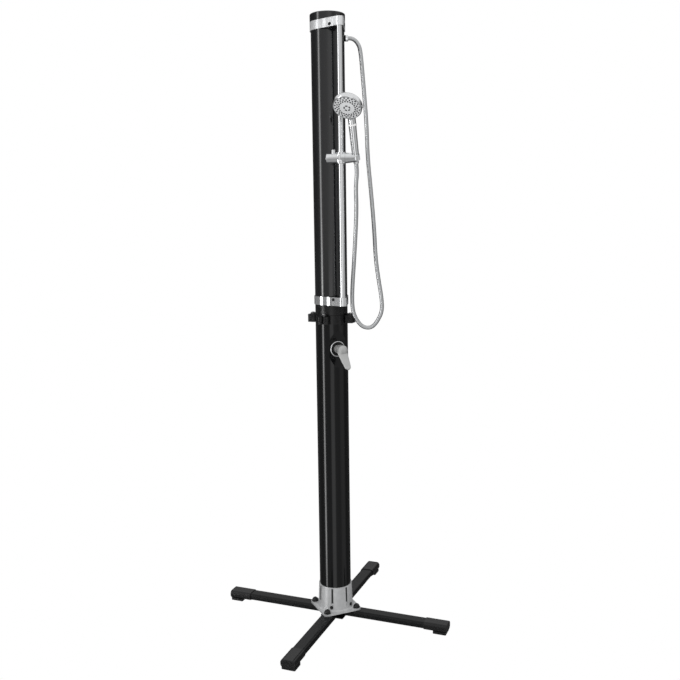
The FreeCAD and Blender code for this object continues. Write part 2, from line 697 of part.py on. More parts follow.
def top_cap():
    inner = TUBE_R + TOUCH
    outer = inner + TOP_CAP_WALL
    ceiling = UPPER_TUBE_TOP + CAP_HEADROOM
    top = ceiling + TOP_CAP_TOP
    knee = TOP_CAP_EDGE * (1 - math.sqrt(0.5))
    return turned_profile([
        (0, ceiling), (inner, ceiling), (inner, TOP_CAP_BOTTOM), (outer, TOP_CAP_BOTTOM),
        (outer, top - TOP_CAP_EDGE), (outer - knee, top - knee, outer - TOP_CAP_EDGE, top), (0, top)])


# ---------------------------------------------------------------- rail and brackets
def teardrop(tube_r, nose_r, z0, z1):
    """Plan outline that wraps the column and the rail, raised from z0 to z1."""
    lean = math.asin((tube_r - nose_r) / RAIL_OUT)
    side = V(math.cos(lean), -math.sin(lean), 0)
    mirror = V(-side.x, side.y, 0)
    nose = FRONT * RAIL_OUT
    flank = [side * tube_r, nose + side * nose_r]
    other = [nose + mirror * nose_r, mirror * tube_r]
    edges = [Part.makeLine(*flank), Part.Arc(flank[1], nose + FRONT * nose_r, other[0]).toShape(),
             Part.makeLine(*other), Part.Arc(other[1], Y * tube_r, flank[0]).toShape()]
    outline = Part.Face(Part.Wire(edges)).extrude(Z * (z1 - z0))
    outline.translate(Z * z0)
    return outline


def flank_screw(z, sign):
    """Place and outward direction of a bracket screw on one flank."""
    tube_r = TUBE_R + TOUCH + BAND_WALL
    lean = math.asin((tube_r - BAND_NOSE_R) / RAIL_OUT)
    side = V(sign * math.cos(lean), -math.sin(lean), 0)
    start = side * tube_r
    end = FRONT * RAIL_OUT + side * BAND_NOSE_R
    return start + (end - start) * BAND_SCREW_SHARE + Z * z, side


def screw_z(z0):
    return z0 + BAND_HEIGHT / 2 - BAND_SCREW_DROPS[z0]


def band(z0):
    inner_r = TUBE_R + TOUCH
    shell = teardrop(inner_r + BAND_WALL, BAND_NOSE_R, z0, z0 + BAND_HEIGHT)
    shell = shell.cut(teardrop(inner_r, BAND_NOSE_R - NOSE_WALL, z0, z0 + BAND_HEIGHT))
    for sign in (-1, 1):
        at, out = flank_screw(screw_z(z0), sign)
        shell = shell.cut(cyl(BAND_SCREW_R + TOUCH, 4 * BAND_WALL, at - out * 3 * BAND_WALL, out))
    return shell


def rail_block(z0, open_above):
    """The insert between the column and the band's nose that holds an end of the rail."""
    low = z0 + BLOCK_INSET
    high = z0 + BAND_HEIGHT - BLOCK_INSET
    inner_r = TUBE_R + TOUCH
    body = teardrop(inner_r - TOUCH, BAND_NOSE_R - NOSE_WALL - TOUCH, low, high)
    body = body.cut(cyl(inner_r, BAND_HEIGHT, V(0, 0, z0)))
    bore_z = low + RAIL_STOP if open_above else low
    body = body.cut(cyl(RAIL_R + TOUCH, high - low - RAIL_STOP, FRONT * RAIL_OUT + Z * bore_z))
    for sign in (-1, 1):
        at, out = flank_screw(screw_z(z0), sign)
        body = body.cut(cyl(BAND_SCREW_R, BAND_SCREW_LENGTH + 1, at, out * -1))
    return max(body.Solids, key=lambda solid: solid.Volume)


def rail_blocks():
    return group([rail_block(LOWER_BAND_Z, True), rail_block(UPPER_BAND_Z, False)])


def band_screws():
    shapes = []
    for z0 in (LOWER_BAND_Z, UPPER_BAND_Z):
        for sign in (-1, 1):
            at, out = flank_screw(screw_z(z0), sign)
            head = turned_profile([(0, 0), (BAND_SCREW_HEAD_R, 0), (BAND_SCREW_HEAD_R, BAND_SCREW_HEAD * 0.3)]
                                  + dome(BAND_SCREW_HEAD_R, BAND_SCREW_HEAD * 0.3, BAND_SCREW_HEAD * 0.7),
                                  base=at, axis=out, side=Z)
            shapes.append(head.fuse(cyl(BAND_SCREW_R, BAND_SCREW_LENGTH, at, out * -1)))
    return group(shapes)


def riser_rail():
    z0 = LOWER_BAND_Z + BLOCK_INSET + RAIL_STOP
    z1 = UPPER_BAND_Z + BAND_HEIGHT - BLOCK_INSET - RAIL_STOP
    return ring(RAIL_R, RAIL_R - RAIL_WALL, z1 - z0, FRONT * RAIL_OUT + Z * z0)


# ---------------------------------------------------------------- outlet
def outlet_nipple():
    out = heading(OUTLET_AZIMUTH)
    body = cyl(NIPPLE_R, NIPPLE_END - NIPPLE_INNER, out * NIPPLE_INNER + Z * OUTLET_Z, out)
    return body.cut(cyl(NIPPLE_BORE_R, NIPPLE_END, out * NIPPLE_INNER + Z * OUTLET_Z, out))


def outlet_washer():
    out = heading(OUTLET_AZIMUTH)
    disc = ring(WASHER_R, NIPPLE_R + TOUCH, WASHER_THICK + 3, out * (TUBE_R - 3) + Z * OUTLET_Z, out)
    return disc.cut(cyl(TUBE_R, 4 * WASHER_R, V(0, 0, OUTLET_Z - 2 * WASHER_R)))


def outlet_nut():
    out = heading(OUTLET_AZIMUTH)
    start = TUBE_R + WASHER_THICK
    return turned_profile([
        (NIPPLE_R, 0), (OUTLET_NUT_R, 0), (OUTLET_NUT_R, OUTLET_NUT_LENGTH * 0.7),
        (OUTLET_NUT_R - 1.2, OUTLET_NUT_LENGTH), (NIPPLE_R, OUTLET_NUT_LENGTH)],
        base=out * start + Z * OUTLET_Z, axis=out, side=Z)


# ---------------------------------------------------------------- mixer
def front_cyl(r, start, end):
    """A cylinder on the mixer's axis between two distances in front of the column axis."""
    return cyl(r, end - start, V(0, -start, MIXER_Z), FRONT)


def mixer_body():
    wall = POCKET_FLAT - TUBE_WALL
    body = front_cyl(MIXER_BODY_R, MIXER_BODY_BACK, wall)
    body = body.fuse(front_cyl(MIXER_NOSE_R, wall, POCKET_FLAT + MIXER_NOSE_PROUD))
    cavity = front_cyl(CARTRIDGE_R + TOUCH, CARTRIDGE_OUT - CARTRIDGE_LENGTH, CARTRIDGE_OUT)
    mouth = front_cyl(SLEEVE_R + RUNNING, CARTRIDGE_OUT, POCKET_FLAT + MIXER_NOSE_PROUD)
    ports = []
    for x in (-PORT_SPREAD, PORT_SPREAD):
        ports.append(cyl(PIPE_BORE_R, 2 * MIXER_BODY_BACK, V(x, 0, MIXER_Z), FRONT))
    ports.append(cyl(PIPE_BORE_R, MIXER_BODY_R, PIPE_LINES["mixed"] + Z * MIXER_Z))
    return body.cut(group([cavity, mouth] + ports))


def mixer_seat():
    start = POCKET_FLAT
    plate = front_cyl(SEAT_RING_R - TOUCH, start, start + SEAT_PLATE)
    return plate.cut(front_cyl(MIXER_NOSE_R + TOUCH, start, start + SEAT_PLATE))


def escutcheon_ring():
    h = ESCUTCHEON_PROUD
    return turned_profile([
        (SEAT_RING_R, 0), (ESCUTCHEON_R, 0), (ESCUTCHEON_R, h * 0.4),
        (ESCUTCHEON_R - 0.4, h * 0.85, ESCUTCHEON_R - ESCUTCHEON_WIDTH / 2, h), (SEAT_RING_R, h * 0.8)],
        base=V(0, -POCKET_FLAT, MIXER_Z), axis=FRONT, side=Z)


def cartridge():
    body = front_cyl(CARTRIDGE_R, CARTRIDGE_OUT - CARTRIDGE_LENGTH, CARTRIDGE_OUT)
    return body.cut(front_cyl(STEM_R + RUNNING, CARTRIDGE_OUT - CARTRIDGE_LENGTH / 2, CARTRIDGE_OUT))


def cartridge_nut():
    end = POCKET_FLAT + MIXER_NOSE_PROUD - 0.5
    return front_cyl(SLEEVE_R, CARTRIDGE_OUT, end).cut(front_cyl(CARTRIDGE_NUT_BORE_R, CARTRIDGE_OUT, end))


def barrel(radius):
    """A cylinder about the lever pin's axis."""
    return cyl(radius, 4 * HUB_R, V(-2 * HUB_R, -LEVER_PIVOT_OUT, MIXER_Z), X)


def mixer_sleeve():
    start = POCKET_FLAT + MIXER_NOSE_PROUD
    back = front_cyl(SLEEVE_R, start, LEVER_PIVOT_OUT)
    front = front_cyl(SLEEVE_R, LEVER_PIVOT_OUT, LEVER_PIVOT_OUT + LEVER_BARREL_R)
    tube = back.fuse(front.common(barrel(LEVER_BARREL_R)))
    bore = front_cyl(SLEEVE_BORE_R, start, LEVER_PIVOT_OUT + LEVER_BARREL_R)
    pin_hole = cyl(LEVER_PIN_R, 2 * SLEEVE_R, V(-SLEEVE_R, -LEVER_PIVOT_OUT, MIXER_Z), X)
    return tube.cut(group([bore, pin_hole]))


def cartridge_stem():
    rod = front_cyl(STEM_R, CARTRIDGE_OUT - CARTRIDGE_LENGTH / 2 + 1, STEM_PLATE_OUT)
    return rod.fuse(front_cyl(SLEEVE_BORE_R, STEM_PLATE_OUT, STEM_PLATE_OUT + STEM_DISC))


def lever_pin():
    half = SLEEVE_R - 0.6
    return cyl(LEVER_PIN_R, 2 * half, V(-half, -LEVER_PIVOT_OUT, MIXER_Z), X)


def lever_handle():
    hub_back = LEVER_PIVOT_OUT + 4
    dome_rise = 6.0
    edge = HUB_FRONT_OUT - dome_rise
    hub = turned_profile([(0, hub_back), (HUB_R, hub_back), (HUB_R, edge)] + dome(HUB_R, edge, dome_rise),
                         base=V(0, 0, MIXER_Z), axis=FRONT, side=Z)
    hub = hub.cut(barrel(LEVER_BARREL_R + SEAM))
    root = V(0, -(HUB_FRONT_OUT - 18), MIXER_Z - 2)
    half_root = BLADE_ROOT_WIDTH / 2
    half_tip = BLADE_TIP_WIDTH / 2
    reach = BLADE_LENGTH - half_tip
    edges = [Part.makeLine(V(-half_root, 0, 0), V(half_root, 0, 0)),
             Part.makeLine(V(half_root, 0, 0), V(half_tip, 0, -reach)),
             Part.Arc(V(half_tip, 0, -reach), V(0, 0, -BLADE_LENGTH), V(-half_tip, 0, -reach)).toShape(),
             Part.makeLine(V(-half_tip, 0, -reach), V(-half_root, 0, 0))]
    blade = Part.Face(Part.Wire(edges)).extrude(FRONT * BLADE_THICK)
    blade = blade.makeFillet(BLADE_THICK * 0.3, [e for e in blade.Edges
                                                 if abs(e.BoundBox.YLength) < 0.01])
    blade.translate(V(0, BLADE_THICK / 2, 0))
    blade = about_x(blade, BLADE_ANGLE - 90)
    blade.translate(root)
    blade = blade.cut(barrel(LEVER_BARREL_R + SEAM))
    tongue = block(-TONGUE_WIDTH / 2, TONGUE_WIDTH / 2, -(HUB_FRONT_OUT - 8), -LEVER_PIVOT_OUT,
                   MIXER_Z - TONGUE_R, MIXER_Z + TONGUE_R)
    eye = cyl(TONGUE_R, TONGUE_WIDTH, V(-TONGUE_WIDTH / 2, -LEVER_PIVOT_OUT, MIXER_Z), X)
    pin = barrel(LEVER_PIN_R + RUNNING)
    return hub.fuse([blade, tongue, eye]).cut(pin).removeSplitter()


# ---------------------------------------------------------------- pipes and inlet
def inlet_manifold():
    half = MANIFOLD_HEIGHT / 2
    back = TUBE_BORE_R - MANIFOLD_GAP
    core = block(-FEED_OFFSET - PIPE_R - 1, PIPE_R + 1, MANIFOLD_INNER, back, MANIFOLD_Z - half,
                 MANIFOLD_Z + half)
    neck = cyl(INLET_NECK_R, INLET_NECK_END - back + 1, V(0, back - 1, MANIFOLD_Z), Y)
    thread = cyl(INLET_R, INLET_REACH - INLET_NECK_END, V(0, INLET_NECK_END, MANIFOLD_Z), Y)
    body = core.fuse([neck, thread])
    bores = [
        cyl(INLET_BORE_R, INLET_REACH, V(0, PIPE_BACK - PIPE_BORE_R, MANIFOLD_Z), Y),
        block(-FEED_OFFSET - PIPE_BORE_R, PIPE_BORE_R, PIPE_BACK - PIPE_BORE_R,
              PIPE_BACK + PIPE_BORE_R, MANIFOLD_Z - PIPE_BORE_R, MANIFOLD_Z + PIPE_BORE_R),
        cyl(PIPE_BORE_R, half + 1, V(-FEED_OFFSET, PIPE_BACK, MANIFOLD_Z)),
        cyl(PIPE_BORE_R, half + 1, V(-PORT_SPREAD, PIPE_BACK, MANIFOLD_Z))]
    return body.cut(group(bores))


def cold_pipe():
    port = V(-PORT_SPREAD, -MIXER_BODY_BACK, MIXER_Z)
    corner = V(-PORT_SPREAD, PIPE_BACK, MIXER_Z)
    foot = V(-PORT_SPREAD, PIPE_BACK, MANIFOLD_Z + MANIFOLD_HEIGHT / 2)
    return pipe([port] + bend(port, corner, foot) + [foot])


def hot_pipe():
    port = V(PORT_SPREAD, -MIXER_BODY_BACK, MIXER_Z)
    corner = V(PORT_SPREAD, PIPE_BACK, MIXER_Z)
    top = PIPE_LINES["hot"] + Z * HOT_END_Z
    return pipe([port] + bend(port, corner, top) + [top])


def tank_feed_pipe():
    z0 = MANIFOLD_Z + MANIFOLD_HEIGHT / 2
    base = PIPE_LINES["feed"] + Z * z0
    return ring(PIPE_R, PIPE_BORE_R, FEED_END_Z - z0, base)


def mixed_pipe():
    out = heading(OUTLET_AZIMUTH)
    foot = PIPE_LINES["mixed"] + Z * (MIXER_Z + MIXER_BODY_R)
    corner = PIPE_LINES["mixed"] + Z * OUTLET_Z
    turn = out * (NIPPLE_INNER - 1.4 * PIPE_BEND_R) + Z * OUTLET_Z
    end = out * NIPPLE_INNER + Z * OUTLET_Z
    return pipe([foot] + bend(foot, corner, turn) + [turn, end])


# ---------------------------------------------------------------- slider
SLIDER_CENTRE = V(0, -RAIL_OUT, SLIDER_Z)


def place_slider(shape):
    """Put a shape of the slider's own frame on the rail."""
    copy = about_z(shape, SLIDER_TURN)
    copy.translate(SLIDER_CENTRE)
    return copy


def place_cradle(shape):
    """Put a shape of the tilted cradle's frame on the rail."""
    return place_slider(about_x(shape, CRADLE_TILT))


def rail_bush():
    half = BOSS_HEIGHT / 2 - 1
    tube = ring(BUSH_R, RAIL_R + RUNNING, 2 * half, V(0, 0, -half))
    return tube.cut(block(-BUSH_SLIT / 2, BUSH_SLIT / 2, 0, BUSH_R + 1, -half, half))


def slider_body():
    left = cyl(SLIDER_R, SLIDER_LEFT, V(-SLIDER_LEFT, 0, 0), X)
    left = left.makeFillet(1.5, [e for e in left.Edges if e.BoundBox.XMax < 1 - SLIDER_LEFT])
    right = Part.makeCone(SLIDER_R, SLIDER_END_R, SLIDER_RIGHT, V(0, 0, 0), X)
    boss = cyl(BOSS_R, BOSS_HEIGHT, V(0, 0, -BOSS_HEIGHT / 2))
    boss = boss.makeFillet(1.5, [e for e in boss.Edges if e.BoundBox.ZLength < 0.01])
    pivot = cyl(PIVOT_R, PIVOT_LENGTH + SEAM, V(SLIDER_RIGHT, 0, 0), X)
    body = left.fuse([right, boss, pivot])
    bore = cyl(BUSH_R + RUNNING, BOSS_HEIGHT, V(0, 0, -BOSS_HEIGHT / 2))
    pocket = cyl(BUTTON_R + RUNNING, BUTTON_TOP - SPRING_SEAT, V(-BUTTON_OUT, 0, SPRING_SEAT))
    thread = cyl(PIVOT_SCREW_R, PIVOT_LENGTH + SEAM, V(SLIDER_RIGHT, 0, 0), X)
    return body.cut(group([bore, pocket, thread]))


def release_button():
    height = BUTTON_TOP - BUTTON_FOOT
    button = cyl(BUTTON_R, height, V(-BUTTON_OUT, 0, BUTTON_FOOT))
    return button.makeFillet(1.2, [e for e in button.Edges if e.BoundBox.ZMin > BUTTON_TOP - 1])


def button_spring():
    pitch = (BUTTON_FOOT - SPRING_SEAT - 2 * SPRING_WIRE_R - 2 * TOUCH) / SPRING_TURNS
    helix = Part.makeHelix(pitch, pitch * SPRING_TURNS, SPRING_R)
    section = Part.Wire([Part.Circle(V(SPRING_R, 0, 0), Y, SPRING_WIRE_R).toShape()])
    coil = Part.Wire(helix).makePipeShell([section], True, True)
    coil.translate(V(-BUTTON_OUT, 0, SPRING_SEAT + SPRING_WIRE_R + TOUCH))
    return coil


def seat_cone(gap):
    """The conical seat of the hose nut, grown by a gap."""
    taper = (NUT_TOP_R - NUT_FOOT_R) / NUT_LENGTH
    low = NUT_TOP - NUT_LENGTH
    high = CRADLE_END_HALF_HEIGHT + SLIDER_END_R
    top_r = NUT_TOP_R + taper * (high - NUT_TOP)
    return Part.makeCone(NUT_FOOT_R + gap, top_r + gap, high - low, V(SEAT_OUT, 0, low))


def cradle():
    start = SLIDER_RIGHT + SEAM
    body = Part.makeCone(SLIDER_END_R, CRADLE_NOSE_R, CRADLE_END - start, V(start, 0, 0), X)
    fall = [V(start, -CRADLE_END, SLIDER_END_R), V(CRADLE_END, -CRADLE_END, CRADLE_END_HALF_HEIGHT),
            V(CRADLE_END, -CRADLE_END, -CRADLE_END_HALF_HEIGHT), V(start, -CRADLE_END, -SLIDER_END_R)]
    plan = cyl(CRADLE_NOSE_R, 2 * SLIDER_END_R, V(SEAT_OUT, 0, -SLIDER_END_R))
    plan = plan.fuse(block(start, SEAT_OUT, -SLIDER_END_R, SLIDER_END_R, -SLIDER_END_R, SLIDER_END_R))
    body = body.common(prism(fall, Y * 2 * CRADLE_END)).common(plan)
    socket = cyl(PIVOT_R + RUNNING, PIVOT_LENGTH + SEAM, V(start - SEAM, 0, 0), X)
    web_x = start + PIVOT_LENGTH + SEAM
    screw_way = cyl(PIVOT_SCREW_R + RUNNING, CRADLE_WEB + SEAM, V(web_x - SEAM, 0, 0), X)
    head_room = cyl(PIVOT_SCREW_HEAD_R + SEAM, SEAT_OUT - web_x, V(web_x + CRADLE_WEB, 0, 0), X)
    slot = block(SEAT_OUT, CRADLE_END + 1, -CRADLE_SLOT / 2, CRADLE_SLOT / 2, -SLIDER_END_R, SLIDER_END_R)
    return body.cut(group([socket, screw_way, head_room])).cut(seat_cone(3 * TOUCH)).cut(slot)


def cradle_screw():
    start = SLIDER_RIGHT + 1
    seat = SLIDER_RIGHT + 2 * SEAM + PIVOT_LENGTH + CRADLE_WEB + SEAM / 2
    head = cyl(PIVOT_SCREW_HEAD_R, PIVOT_SCREW_HEAD, V(seat, 0, 0), X)
    return cyl(PIVOT_SCREW_R, seat - start, V(start, 0, 0), X).fuse(head)


# ---------------------------------------------------------------- handset
HEAD_UP = about_x(Part.Vertex(0, 0, 1), HEAD_BEND).Point
HEAD_BACK = about_x(Part.Vertex(0, 1, 0), HEAD_BEND).Point
HEAD_CENTRE = V(SEAT_OUT, -HEAD_FORWARD, HEAD_RISE) + HEAD_UP * HEAD_R


def head_turned(steps):
    """Turn an outline of (radius, depth behind the face plane) about the head's axis."""
    return turned_profile(steps, base=HEAD_CENTRE, axis=HEAD_BACK, side=X)


def crown(r):
    """Depth of the face's crowned front at a radius; negative is in front."""
    return -FACE_PROUD - FACE_CROWN * (1 - (r / FACE_R) ** 2)


def hose_nut():
    axis = V(SEAT_OUT, 0, NUT_TOP - NUT_LENGTH)
    straight = NUT_LENGTH * 0.85
    return turned_profile([
        (NUT_BORE_R, 0), (NUT_FOOT_R, 0), (NUT_TOP_R - 0.5, straight), (NUT_TOP_R - 0.5, NUT_LENGTH),
        (NUT_BORE_R, NUT_LENGTH)], base=axis)


def handset_shell():
    axis = V(SEAT_OUT, 0, 0)
    handle = turned_profile(
        [(0, HANDLE_FOOT), (HANDLE_FOOT_R - 1, HANDLE_FOOT), (HANDLE_FOOT_R, HANDLE_FOOT + 1),
         (HANDLE_NECK_R, HANDLE_NECK), (HANDLE_NECK_R, HANDLE_END)]
        + dome(HANDLE_NECK_R, HANDLE_END, HANDLE_NECK_R), base=axis)
    ahead = block(-HEAD_R, HEAD_R, -HEAD_R, 0, -HEAD_R - 1, HEAD_R)
    ahead = about_x(ahead, HEAD_BEND)
    ahead.translate(HEAD_CENTRE)
    tail = cyl(TAIL_R, TAIL_LENGTH, axis + Z * (HANDLE_FOOT - TAIL_LENGTH + 1))
    rim = HEAD_RIM
    drop = HEAD_DEPTH - rim
    head = head_turned([
        (0, 0), (HEAD_R - 0.8, 0), (HEAD_R, 1.5), (HEAD_R, rim),
        (HEAD_R * 0.83, rim + drop * 0.56, HEAD_R * 0.5, rim + drop * 0.88), (0, HEAD_DEPTH)])
    recess = head_turned([(0, -1), (FACE_R + RUNNING, -1), (FACE_R + RUNNING, FACE_DEPTH), (0, FACE_DEPTH)])
    chamber = head_turned([(0, FACE_DEPTH), (HEAD_R * 0.6, FACE_DEPTH), (HEAD_R * 0.5, HEAD_DEPTH * 0.7),
                           (0, HEAD_DEPTH * 0.8)])
    waterway = cyl(WATERWAY_R, HEAD_RISE + TAIL_LENGTH, axis + Z * (HANDLE_FOOT - TAIL_LENGTH))
    groove = ring(HANDLE_NECK_R + 2, COLLAR_BORE_R, COLLAR_HEIGHT, axis + Z * COLLAR_Z)
    shell = handle.cut(ahead).fuse([tail, head]).cut(group([recess, chamber])).cut(waterway).cut(groove)
    return shell.removeSplitter()


def handset_collar():
    return ring(HANDLE_NECK_R + COLLAR_PROUD, COLLAR_BORE_R, COLLAR_HEIGHT, V(SEAT_OUT, 0, COLLAR_Z))


def nozzle_places():
    for radius, turn in NOZZLE_RINGS:
        for k in range(NOZZLES_PER_RING):
            angle = math.radians(360 / NOZZLES_PER_RING * k + turn)
            across = X * math.cos(angle) + HEAD_UP * math.sin(angle)
            yield HEAD_CENTRE + across * radius + HEAD_BACK * crown(radius)


def spray_nozzles():
    return group(cyl(NOZZLE_R, NOZZLE_PROUD + NOZZLE_DEPTH, at - HEAD_BACK * NOZZLE_PROUD, HEAD_BACK)
                 for at in nozzle_places())


def spray_face():
    mid = FACE_R * 0.7
    disc = head_turned([(0, FACE_DEPTH - TOUCH), (0, crown(0)), (mid, crown(mid), FACE_R, crown(FACE_R)),
                        (FACE_R, FACE_DEPTH - TOUCH)])
    slots = []
    for k in range(SLOT_COUNT):
        slot = block(-SLOT_LENGTH / 2, SLOT_LENGTH / 2, crown(0) - 1, crown(0) + SLOT_DEPTH,
                     SLOT_RING_R - SLOT_WIDTH / 2, SLOT_RING_R + SLOT_WIDTH / 2)
        slot = round_edges(slot, SLOT_WIDTH * 0.45, Y)
        slot.rotate(V(0, 0, 0), Y, 360 / SLOT_COUNT * k)
        slot = about_x(slot, HEAD_BEND)
        slot.translate(HEAD_CENTRE)
        slots.append(slot)
    sockets = [cyl(NOZZLE_R, NOZZLE_DEPTH + 2, at - HEAD_BACK * 2, HEAD_BACK) for at in nozzle_places()]
    return disc.cut(group(slots + [s.common(disc) for s in sockets]))


def selector_dial():
    inner = FACE_R + TOUCH / 2
    outer = inner + DIAL_WIDTH
    dial = head_turned([(inner, -SEAM / 2), (outer, -SEAM / 2), (outer, -DIAL_THICK + 1),
                        (outer - 1, -DIAL_THICK), (inner, -DIAL_THICK)])
    half = DIAL_TAB_WIDTH / 2
    tab = block(outer - 2, DIAL_TAB_REACH, -DIAL_THICK, -SEAM / 2, -half, half)
    tab = round_edges(tab, DIAL_THICK * 0.3, X)
    tab = about_x(tab, HEAD_BEND)
    tab.translate(HEAD_CENTRE)
    return dial.fuse(tab)


# ---------------------------------------------------------------- hose
def hose():
    out = heading(OUTLET_AZIMUTH)
    start = out * NIPPLE_END + Z * OUTLET_Z
    foot = place_cradle(Part.Vertex(SEAT_OUT, 0, NUT_TOP - NUT_LENGTH)).Point
    below = place_cradle(Part.Vertex(SEAT_OUT, 0, NUT_TOP - NUT_LENGTH - HOSE_TAIL)).Point
    points = [start] + [V(*p) for p in HOSE_POINTS] + [below, foot]
    points[1] = start + out * (points[1] - start).Length
    solid, wire, radii = swept(points, HOSE_R)
    print("hose length", round(wire.Length, 1), "least radius", round(min(radii), 1))
    print("hose radii", [round(r) for r in radii])
    print("hose volume share", round(solid.Volume / (math.pi * HOSE_R ** 2 * wire.Length), 4))
    return solid


# ---------------------------------------------------------------- every node
for place, azimuth in LEG_TURNS.items():
    save("leg_" + place, on_leg(leg(), azimuth))
    save("foot_cap_" + place, on_leg(foot_cap(), azimuth))

for maker in (
        hub_plate, base_collar, leg_bolts, leg_nuts, bolt_caps, hub_screws, collar_screws,
        lower_tube, lower_coupling, coupling_gasket, upper_coupling, tank_seal,
        lug_bolts, lug_nuts, upper_tube, tank_top_plug, top_cap, band_screws, rail_blocks, riser_rail,
        outlet_nipple, outlet_washer, outlet_nut, mixer_body, mixer_seat, escutcheon_ring,
        cartridge, cartridge_nut, mixer_sleeve, cartridge_stem, lever_pin, lever_handle,
        inlet_manifold, cold_pipe, hot_pipe, tank_feed_pipe, mixed_pipe, hose):
    save(maker.__name__, maker())

save("lower_band", band(LOWER_BAND_Z))
save("upper_band", band(UPPER_BAND_Z))

for maker in (rail_bush, slider_body, release_button, button_spring, cradle_screw):
    save(maker.__name__, place_slider(maker()))

for maker in (cradle, hose_nut, handset_shell, handset_collar, spray_face, spray_nozzles, selector_dial):
    save(maker.__name__, place_cradle(maker()))
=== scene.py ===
# %% [markdown]
# # Outdoor shower post
# The solids come from the imported CAD model. This script dresses them for a studio picture:
# 1. load the frame and set the camera,
# 2. lay the hose along its route, cut it at the heights where the bodies take it, and put the
#    drop on the post and the rise on the carriage,
# 3. mix one procedural material for each kind of surface and paint the solids,
# 4. lay small pieces over the solids: lips and linings of painted shade on the spray face, turned
#    trim, a fuller slider, a copy of the button's spring and a broader lever,
# 5. light the scene and finish.
# Lengths are in metres, +Z is up and -Y is the front.

# %% Load the frame
import json
import math

import bpy
from mathutils import Matrix, Vector


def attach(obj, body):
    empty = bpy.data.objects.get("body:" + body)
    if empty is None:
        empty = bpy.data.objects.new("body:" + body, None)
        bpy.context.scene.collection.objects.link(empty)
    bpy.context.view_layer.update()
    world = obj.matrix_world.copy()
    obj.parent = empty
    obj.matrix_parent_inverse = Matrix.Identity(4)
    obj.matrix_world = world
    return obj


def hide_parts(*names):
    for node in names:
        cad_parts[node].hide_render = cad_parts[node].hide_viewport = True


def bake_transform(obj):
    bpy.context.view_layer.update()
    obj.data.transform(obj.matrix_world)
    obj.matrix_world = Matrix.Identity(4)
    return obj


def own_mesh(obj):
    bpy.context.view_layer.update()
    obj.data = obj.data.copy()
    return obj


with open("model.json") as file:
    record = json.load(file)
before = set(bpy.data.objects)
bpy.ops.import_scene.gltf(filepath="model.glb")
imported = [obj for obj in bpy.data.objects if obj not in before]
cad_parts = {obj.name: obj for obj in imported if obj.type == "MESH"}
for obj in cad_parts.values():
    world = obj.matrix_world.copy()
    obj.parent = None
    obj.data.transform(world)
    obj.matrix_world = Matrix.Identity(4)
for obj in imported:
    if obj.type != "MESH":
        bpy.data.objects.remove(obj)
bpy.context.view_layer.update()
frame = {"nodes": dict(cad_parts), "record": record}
nodes = frame["nodes"]
print(len(nodes), "CAD nodes")


def new_object(name, data):
    """An object that holds this data, linked into the scene."""
    made = bpy.data.objects.new(name, data)
    bpy.context.scene.collection.objects.link(made)
    return made


# %% [markdown]
# ## Camera
# The camera stands about three metres away, to the left of the front, at chest height. It looks a
# little down, so the upright lines of the column lean apart slightly. It could be placed by hand
# in the viewport, but written angles give the same picture in every run.

# %% Camera
CAMERA_AT = Vector((0.0, -3.06799, 1.49575))
CAMERA_TURN = math.radians(-23.03)
YAW, PITCH, ROLL = 0.0095, -0.1444, -0.0131
SENSOR_MM, LENS_MM = 36, 45.3795

ahead = Vector((math.sin(YAW) * math.cos(PITCH), math.cos(YAW) * math.cos(PITCH), math.sin(PITCH)))
level = Vector((math.cos(YAW), -math.sin(YAW), 0))
upward = level.cross(ahead)
right = level * math.cos(ROLL) + upward * math.sin(ROLL)
top = upward * math.cos(ROLL) - level * math.sin(ROLL)
orientation = Matrix((right, top, -ahead)).transposed().to_4x4()

camera_data = bpy.data.cameras.new("camera")
camera_data.sensor_width = SENSOR_MM
camera_data.lens = LENS_MM
camera = new_object("camera", camera_data)
camera.matrix_world = (Matrix.Rotation(CAMERA_TURN, 4, "Z") @ Matrix.Translation(CAMERA_AT)
                       @ orientation)
bpy.context.scene.camera = camera
bpy.context.scene.view_settings.view_transform = "Standard"
print("camera at", [round(v, 3) for v in camera.matrix_world.translation])

# %% [markdown]
# ## Hose
# The hose leaves the column near its top, drops beside it, turns in a loop and rises to the
# handset. A curve with a round bevel would be quick, but it can't carry the rings of the metal
# wrap. So a NURBS curve only gives the smooth centreline, and the tube is laid along it. The
# route has the same points as the solid in the CAD model.

# %% Hose centreline
HOSE_POINTS = [
    (0.06495, -0.02892, 2.098), (0.0725, -0.0323, 2.098), (0.0825, -0.037, 2.094),
    (0.092, -0.0415, 2.0845), (0.100, -0.0465, 2.067), (0.103, -0.0505, 2.034),
    (0.1055, -0.0555, 1.979), (0.109, -0.0625, 1.900), (0.1125, -0.0705, 1.803),
    (0.112, -0.0775, 1.693), (0.119, -0.089, 1.571), (0.1245, -0.0995, 1.4495),
    (0.126, -0.106, 1.3445), (0.1335, -0.115, 1.266), (0.141, -0.122, 1.206),
    (0.1415, -0.1255, 1.1595), (0.1245, -0.1205, 1.123), (0.1035, -0.114, 1.1005),
    (0.075, -0.1035, 1.1035), (0.0525, -0.0965, 1.132), (0.0395, -0.0935, 1.1705),
    (0.0385, -0.0975, 1.241), (0.0425, -0.105, 1.328), (0.046, -0.113, 1.425),
    (0.0485, -0.119, 1.5195), (0.0425, -0.127, 1.5945), (0.04975, -0.12425, 1.639),
    (0.0432, -0.1315, 1.6695)]

curve = bpy.data.curves.new("hose_route", "CURVE")
curve.dimensions = "3D"
spline = curve.splines.new("NURBS")
spline.points.add(len(HOSE_POINTS) - 1)
for point, place in zip(spline.points, HOSE_POINTS):
    point.co = (*place, 1)
spline.order_u = 3
spline.use_endpoint_u = True
spline.resolution_u = 24
route_object = new_object("hose_route", curve)
bpy.context.view_layer.update()
route = [v.co.copy() for v in bpy.data.meshes.new_from_object(route_object).vertices]
bpy.data.objects.remove(route_object)

